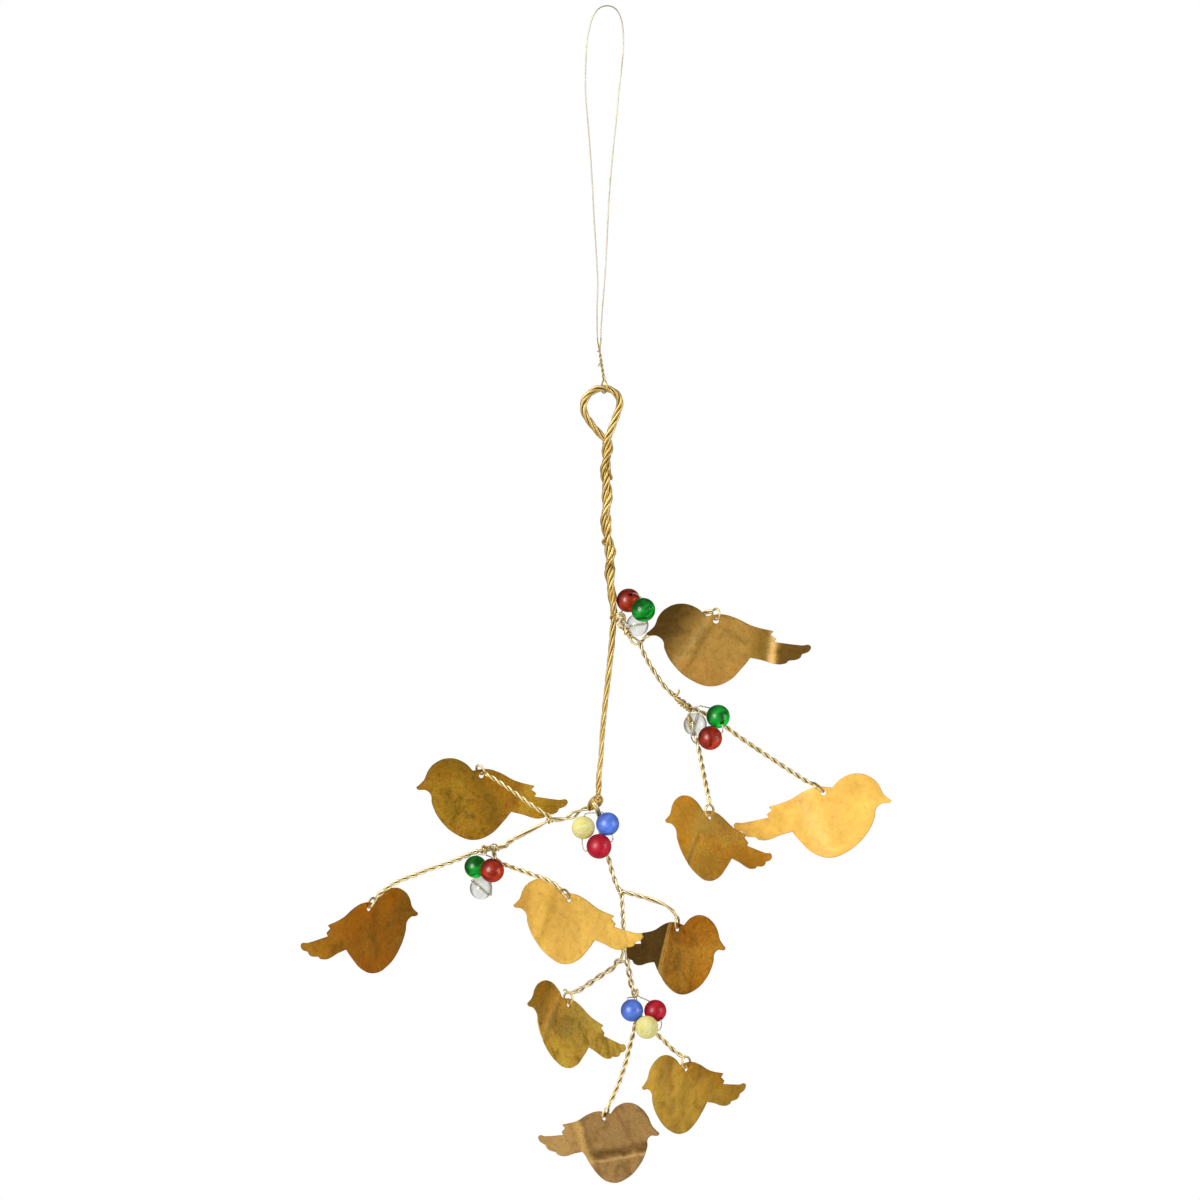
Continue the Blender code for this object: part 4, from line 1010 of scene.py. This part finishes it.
# the way of each bead's hole, where it isn't that from the bead before to the next
HOLES = {
    (1, "red"): (0.21, -0.82, 0.53), (1, "green"): (0.17, 0.39, -0.905),
    (2, "clear"): (-0.30, 0.10, -0.95), (2, "red"): (0.905, 0.17, 0.39), (2, "green"): (-0.28, 0.77, 0.57),
    (3, "clear"): (0.80, 0.0, -0.60),
    (4, "yellow"): (-0.10, 0.10, -1.0), (4, "crimson"): (0.93, 0.10, 0.35), (4, "blue"): (-0.36, 0.30, 0.88),
    (5, "blue"): (0.37, -0.20, -0.90), (5, "yellow"): (0.95, 0.10, -0.25), (5, "crimson"): (-0.435, 0.537, 0.722),
}
# where both ends of a cluster's wire are tied
TIES = {1: (620.4, 616.0, 0.2), 2: (691.0, 709.0, -0.4), 3: (486.0, 849.6, -3.1), 4: (596.0, 806.0, -1.0),
        5: (635.6, 995.0, -0.2)}


def bow(p, dp, q, dq, count):
    out = []
    for i in range(1, count + 1):
        t = i / (count + 1)
        s = 1 - t
        out.append(p * s ** 3 + (p + dp) * (3 * s * s * t) + (q - dq) * (3 * s * t * t) + q * t ** 3)
    return out


for c, (knot, beads) in CLUSTERS.items():
    start = at(*knot)
    spots = [at(u, v, d) for _, u, v, d, _ in beads]
    chain = [start] + spots + [start]
    through = [Vector(HOLES.get((c, b[0]), chain[k + 2] - chain[k])).normalized() for k, b in enumerate(beads)]

    def outside(points):
        """Keeps a bow of wire on the outside of the beads."""
        for i, p in enumerate(points):
            for spot, b in zip(spots, beads):
                room = b[4] * UNIT * 1.04 + 0.00016
                if (p - spot).length < room:
                    p = spot + (p - spot).normalized() * room
            points[i] = p
        return points

    line, leave = [at(*TIES[c]), start], Vector()
    for k, ((kind, _, _, _, r), spot, t) in enumerate(zip(beads, spots, through)):
        radius = r * UNIT
        bead("bead_%d_%s_glass" % (c, kind), kind, spot, t, radius * 1.04, c * 3.1 + k, "bead_%d_%s" % (c, kind))
        out = t * (radius * 1.04 + 0.00006)
        reach = t * min(0.0011, max(0.0004, 0.50 * (spot - out - line[-1]).length))
        if k == 0:
            line += outside(bow(start, (spot - out - start) * 0.3, spot - out, reach * 0.8, 6))
        else:
            line += outside(bow(line[-1], leave, spot - out, reach, 7))
        line += [spot - out, spot, spot + out]
        leave = t * 0.0006
    finish = start + (spots[2] - spots[0]).normalized() * 0.0007
    line += outside(bow(line[-1], leave * 0.6, finish, (finish - line[-1]) * 0.2, 4))
    line += [finish, at(*TIES[c]) + UP * 0.0002]
    shape = Shape()
    shape.tube(route(line, 0.00016), 0.00013, 8)
    shape.make("bead_wire_%d_strand" % c, FINE_BRASS, "frame", ["bead_wire_%d" % c])

# ------------------------------------------------------------------ stage and light
bm = bmesh.new()
bmesh.ops.create_circle(bm, cap_ends=True, segments=96, radius=0.42)
mesh = bpy.data.meshes.new("floor")
bm.to_mesh(mesh)
bm.free()
floor = bpy.data.objects.new("floor", mesh)
floor.location = (0, 0, -0.335)
scene.collection.objects.link(floor)
pale = Nodes("floor_paper")
pale.set(Roughness=0.9)
pale.link(pale.ramp(pale.noise(pale.coords(), 60.0), [(0.3, (0.86, 0.86, 0.85)), (0.7, (0.90, 0.90, 0.89))]),
          pale.bsdf.inputs["Base Color"])
mesh.materials.append(pale.mat)

world = bpy.data.worlds.new("studio")
scene.world = world
world.use_nodes = True
tree = world.node_tree
tree.nodes.clear()
out = tree.nodes.new("ShaderNodeOutputWorld")
tc = tree.nodes.new("ShaderNodeTexCoord")
split = tree.nodes.new("ShaderNodeSeparateXYZ")
tree.links.new(tc.outputs["Generated"], split.inputs[0])
back = tree.nodes.new("ShaderNodeMath")
back.operation = 'MULTIPLY'
back.inputs[1].default_value = -1.0
tree.links.new(split.outputs["Y"], back.inputs[0])
round_room = tree.nodes.new("ShaderNodeMath")
round_room.operation = 'ARCTAN2'
tree.links.new(split.outputs["X"], round_room.inputs[0])
tree.links.new(back.outputs[0], round_room.inputs[1])


def room_ramp(value, low, high, stops):
    shift = tree.nodes.new("ShaderNodeMapRange")
    shift.inputs["From Min"].default_value = low
    shift.inputs["From Max"].default_value = high
    tree.links.new(value, shift.inputs["Value"])
    ramp = tree.nodes.new("ShaderNodeValToRGB")
    tree.links.new(shift.outputs["Result"], ramp.inputs["Fac"])
    el = ramp.color_ramp.elements
    while len(el) < len(stops):
        el.new(0.5)
    for e, (where, light) in zip(el, stops):
        e.position = (where - low) / (high - low)
        e.color = (light, light, light, 1)
    return ramp.outputs["Color"]


# brightness round the room, by angle from the camera towards the right (half of what it gives)
turn = [(-180, 0.86), (-171, 0.82), (-163, 0.26), (-152, 0.16), (-118, 0.14), (-112, 0.40),
        (-106, 0.78), (-97, 0.74), (-88, 0.72), (-80, 1.0), (-70, 1.4), (-40, 1.5), (-26, 1.45), (-16, 1.05), (-8, 0.42),
        (0, 0.28), (8, 0.62), (20, 0.74), (30, 0.58), (44, 0.48), (62, 0.54), (67, 1.2), (78, 1.2), (84, 0.55),
        (97, 0.50), (110, 0.58), (126, 0.28), (140, 0.16), (161, 0.20), (171, 0.80), (180, 0.86)]
around = room_ramp(round_room.outputs[0], -math.pi, math.pi, [(math.radians(a), v / 2) for a, v in turn])
upward = room_ramp(split.outputs["Z"], -1.0, 1.0, [(-1.0, 0.50), (-0.45, 0.55), (-0.25, 0.80), (-0.08, 1.0), (0.5, 1.0), (1.0, 0.8)])
light = tree.nodes.new("ShaderNodeMix")
light.data_type = 'RGBA'
light.blend_type = 'MULTIPLY'
sockets = [k for k in light.inputs if k.type == 'RGBA']
[k for k in light.inputs if k.name == "Factor" and k.type == 'VALUE'][0].default_value = 1.0
tree.links.new(around, sockets[0])
tree.links.new(upward, sockets[1])
light_out = [k for k in light.outputs if k.type == 'RGBA'][0]
room = tree.nodes.new("ShaderNodeBackground")
tree.links.new(light_out, room.inputs["Color"])
room.inputs["Strength"].default_value = 2.0
white = tree.nodes.new("ShaderNodeBackground")
white.inputs["Color"].default_value = (1, 1, 1, 1)
path = tree.nodes.new("ShaderNodeLightPath")
mix = tree.nodes.new("ShaderNodeMixShader")
tree.links.new(path.outputs["Is Camera Ray"], mix.inputs["Fac"])
tree.links.new(room.outputs[0], mix.inputs[1])
tree.links.new(white.outputs[0], mix.inputs[2])
tree.links.new(mix.outputs[0], out.inputs["Surface"])


def softbox(name, azimuth, elevation, distance, size, power, only=None, target=(600, 760)):
    """Area light, azimuth from the camera towards the right; only= keeps it to some pieces, as a flagged lamp is."""
    data = bpy.data.lights.new(name, 'AREA')
    data.shape = 'RECTANGLE'
    data.size, data.size_y = size
    data.energy = power
    obj = bpy.data.objects.new(name, data)
    aim = at(*target)
    a, e = math.radians(azimuth), math.radians(elevation)
    way = Vector((math.sin(a) * math.cos(e), -math.cos(a) * math.cos(e), math.sin(e)))
    obj.location = aim + way * distance
    obj.rotation_euler = (-way).to_track_quat('-Z', 'Y').to_euler()
    obj.visible_camera = False
    obj.visible_transmission = False
    scene.collection.objects.link(obj)
    if only is None:
        obj.visible_glossy = False
    else:
        group = bpy.data.collections.new(name + "_pieces")
        for piece in only:
            group.objects.link(piece)
        obj.light_linking.receiver_collection = group


softbox("left_softbox", -50, 18, 1.1, (0.75, 0.95), 3.0)
softbox("right_softbox", 40, 30, 1.2, (0.6, 0.6), 1.6)
softbox("top_softbox", 0, 80, 1.0, (0.8, 0.6), 1.6)
MILKY = [b for b in BEADS if "yellow" in b.name]
GEMS = [b for b in BEADS if "red" in b.name or "green" in b.name]
softbox("bead_key", -36, 8, 1.0, (0.52, 0.62), 24.0, [b for b in BEADS if b not in MILKY + GEMS])
softbox("gem_key", -36, 8, 1.0, (0.46, 0.54), 44.0, GEMS)
softbox("bead_strip", 62, 4, 1.0, (0.24, 0.50), 8.0, [b for b in BEADS if b not in MILKY])
softbox("milky_key", -36, 8, 1.0, (0.52, 0.62), 1.0, MILKY)
softbox("milky_fill", 66, -34, 1.0, (0.60, 0.60), 2.6, MILKY)
softbox("bead_glow", 74, -22, 1.0, (0.4, 0.5), 12.0, GEMS)
softbox("wire_left", -58, 30, 1.1, (0.5, 0.8), 4.2, WIRES)
softbox("wire_right", 50, 18, 1.1, (0.35, 0.8), 2.6, WIRES)

scene.view_settings.view_transform = 'Standard'
scene.view_settings.look = 'None'
scene.view_settings.exposure = 0.0
scene.view_settings.gamma = 1.0

bpy.context.view_layer.update()
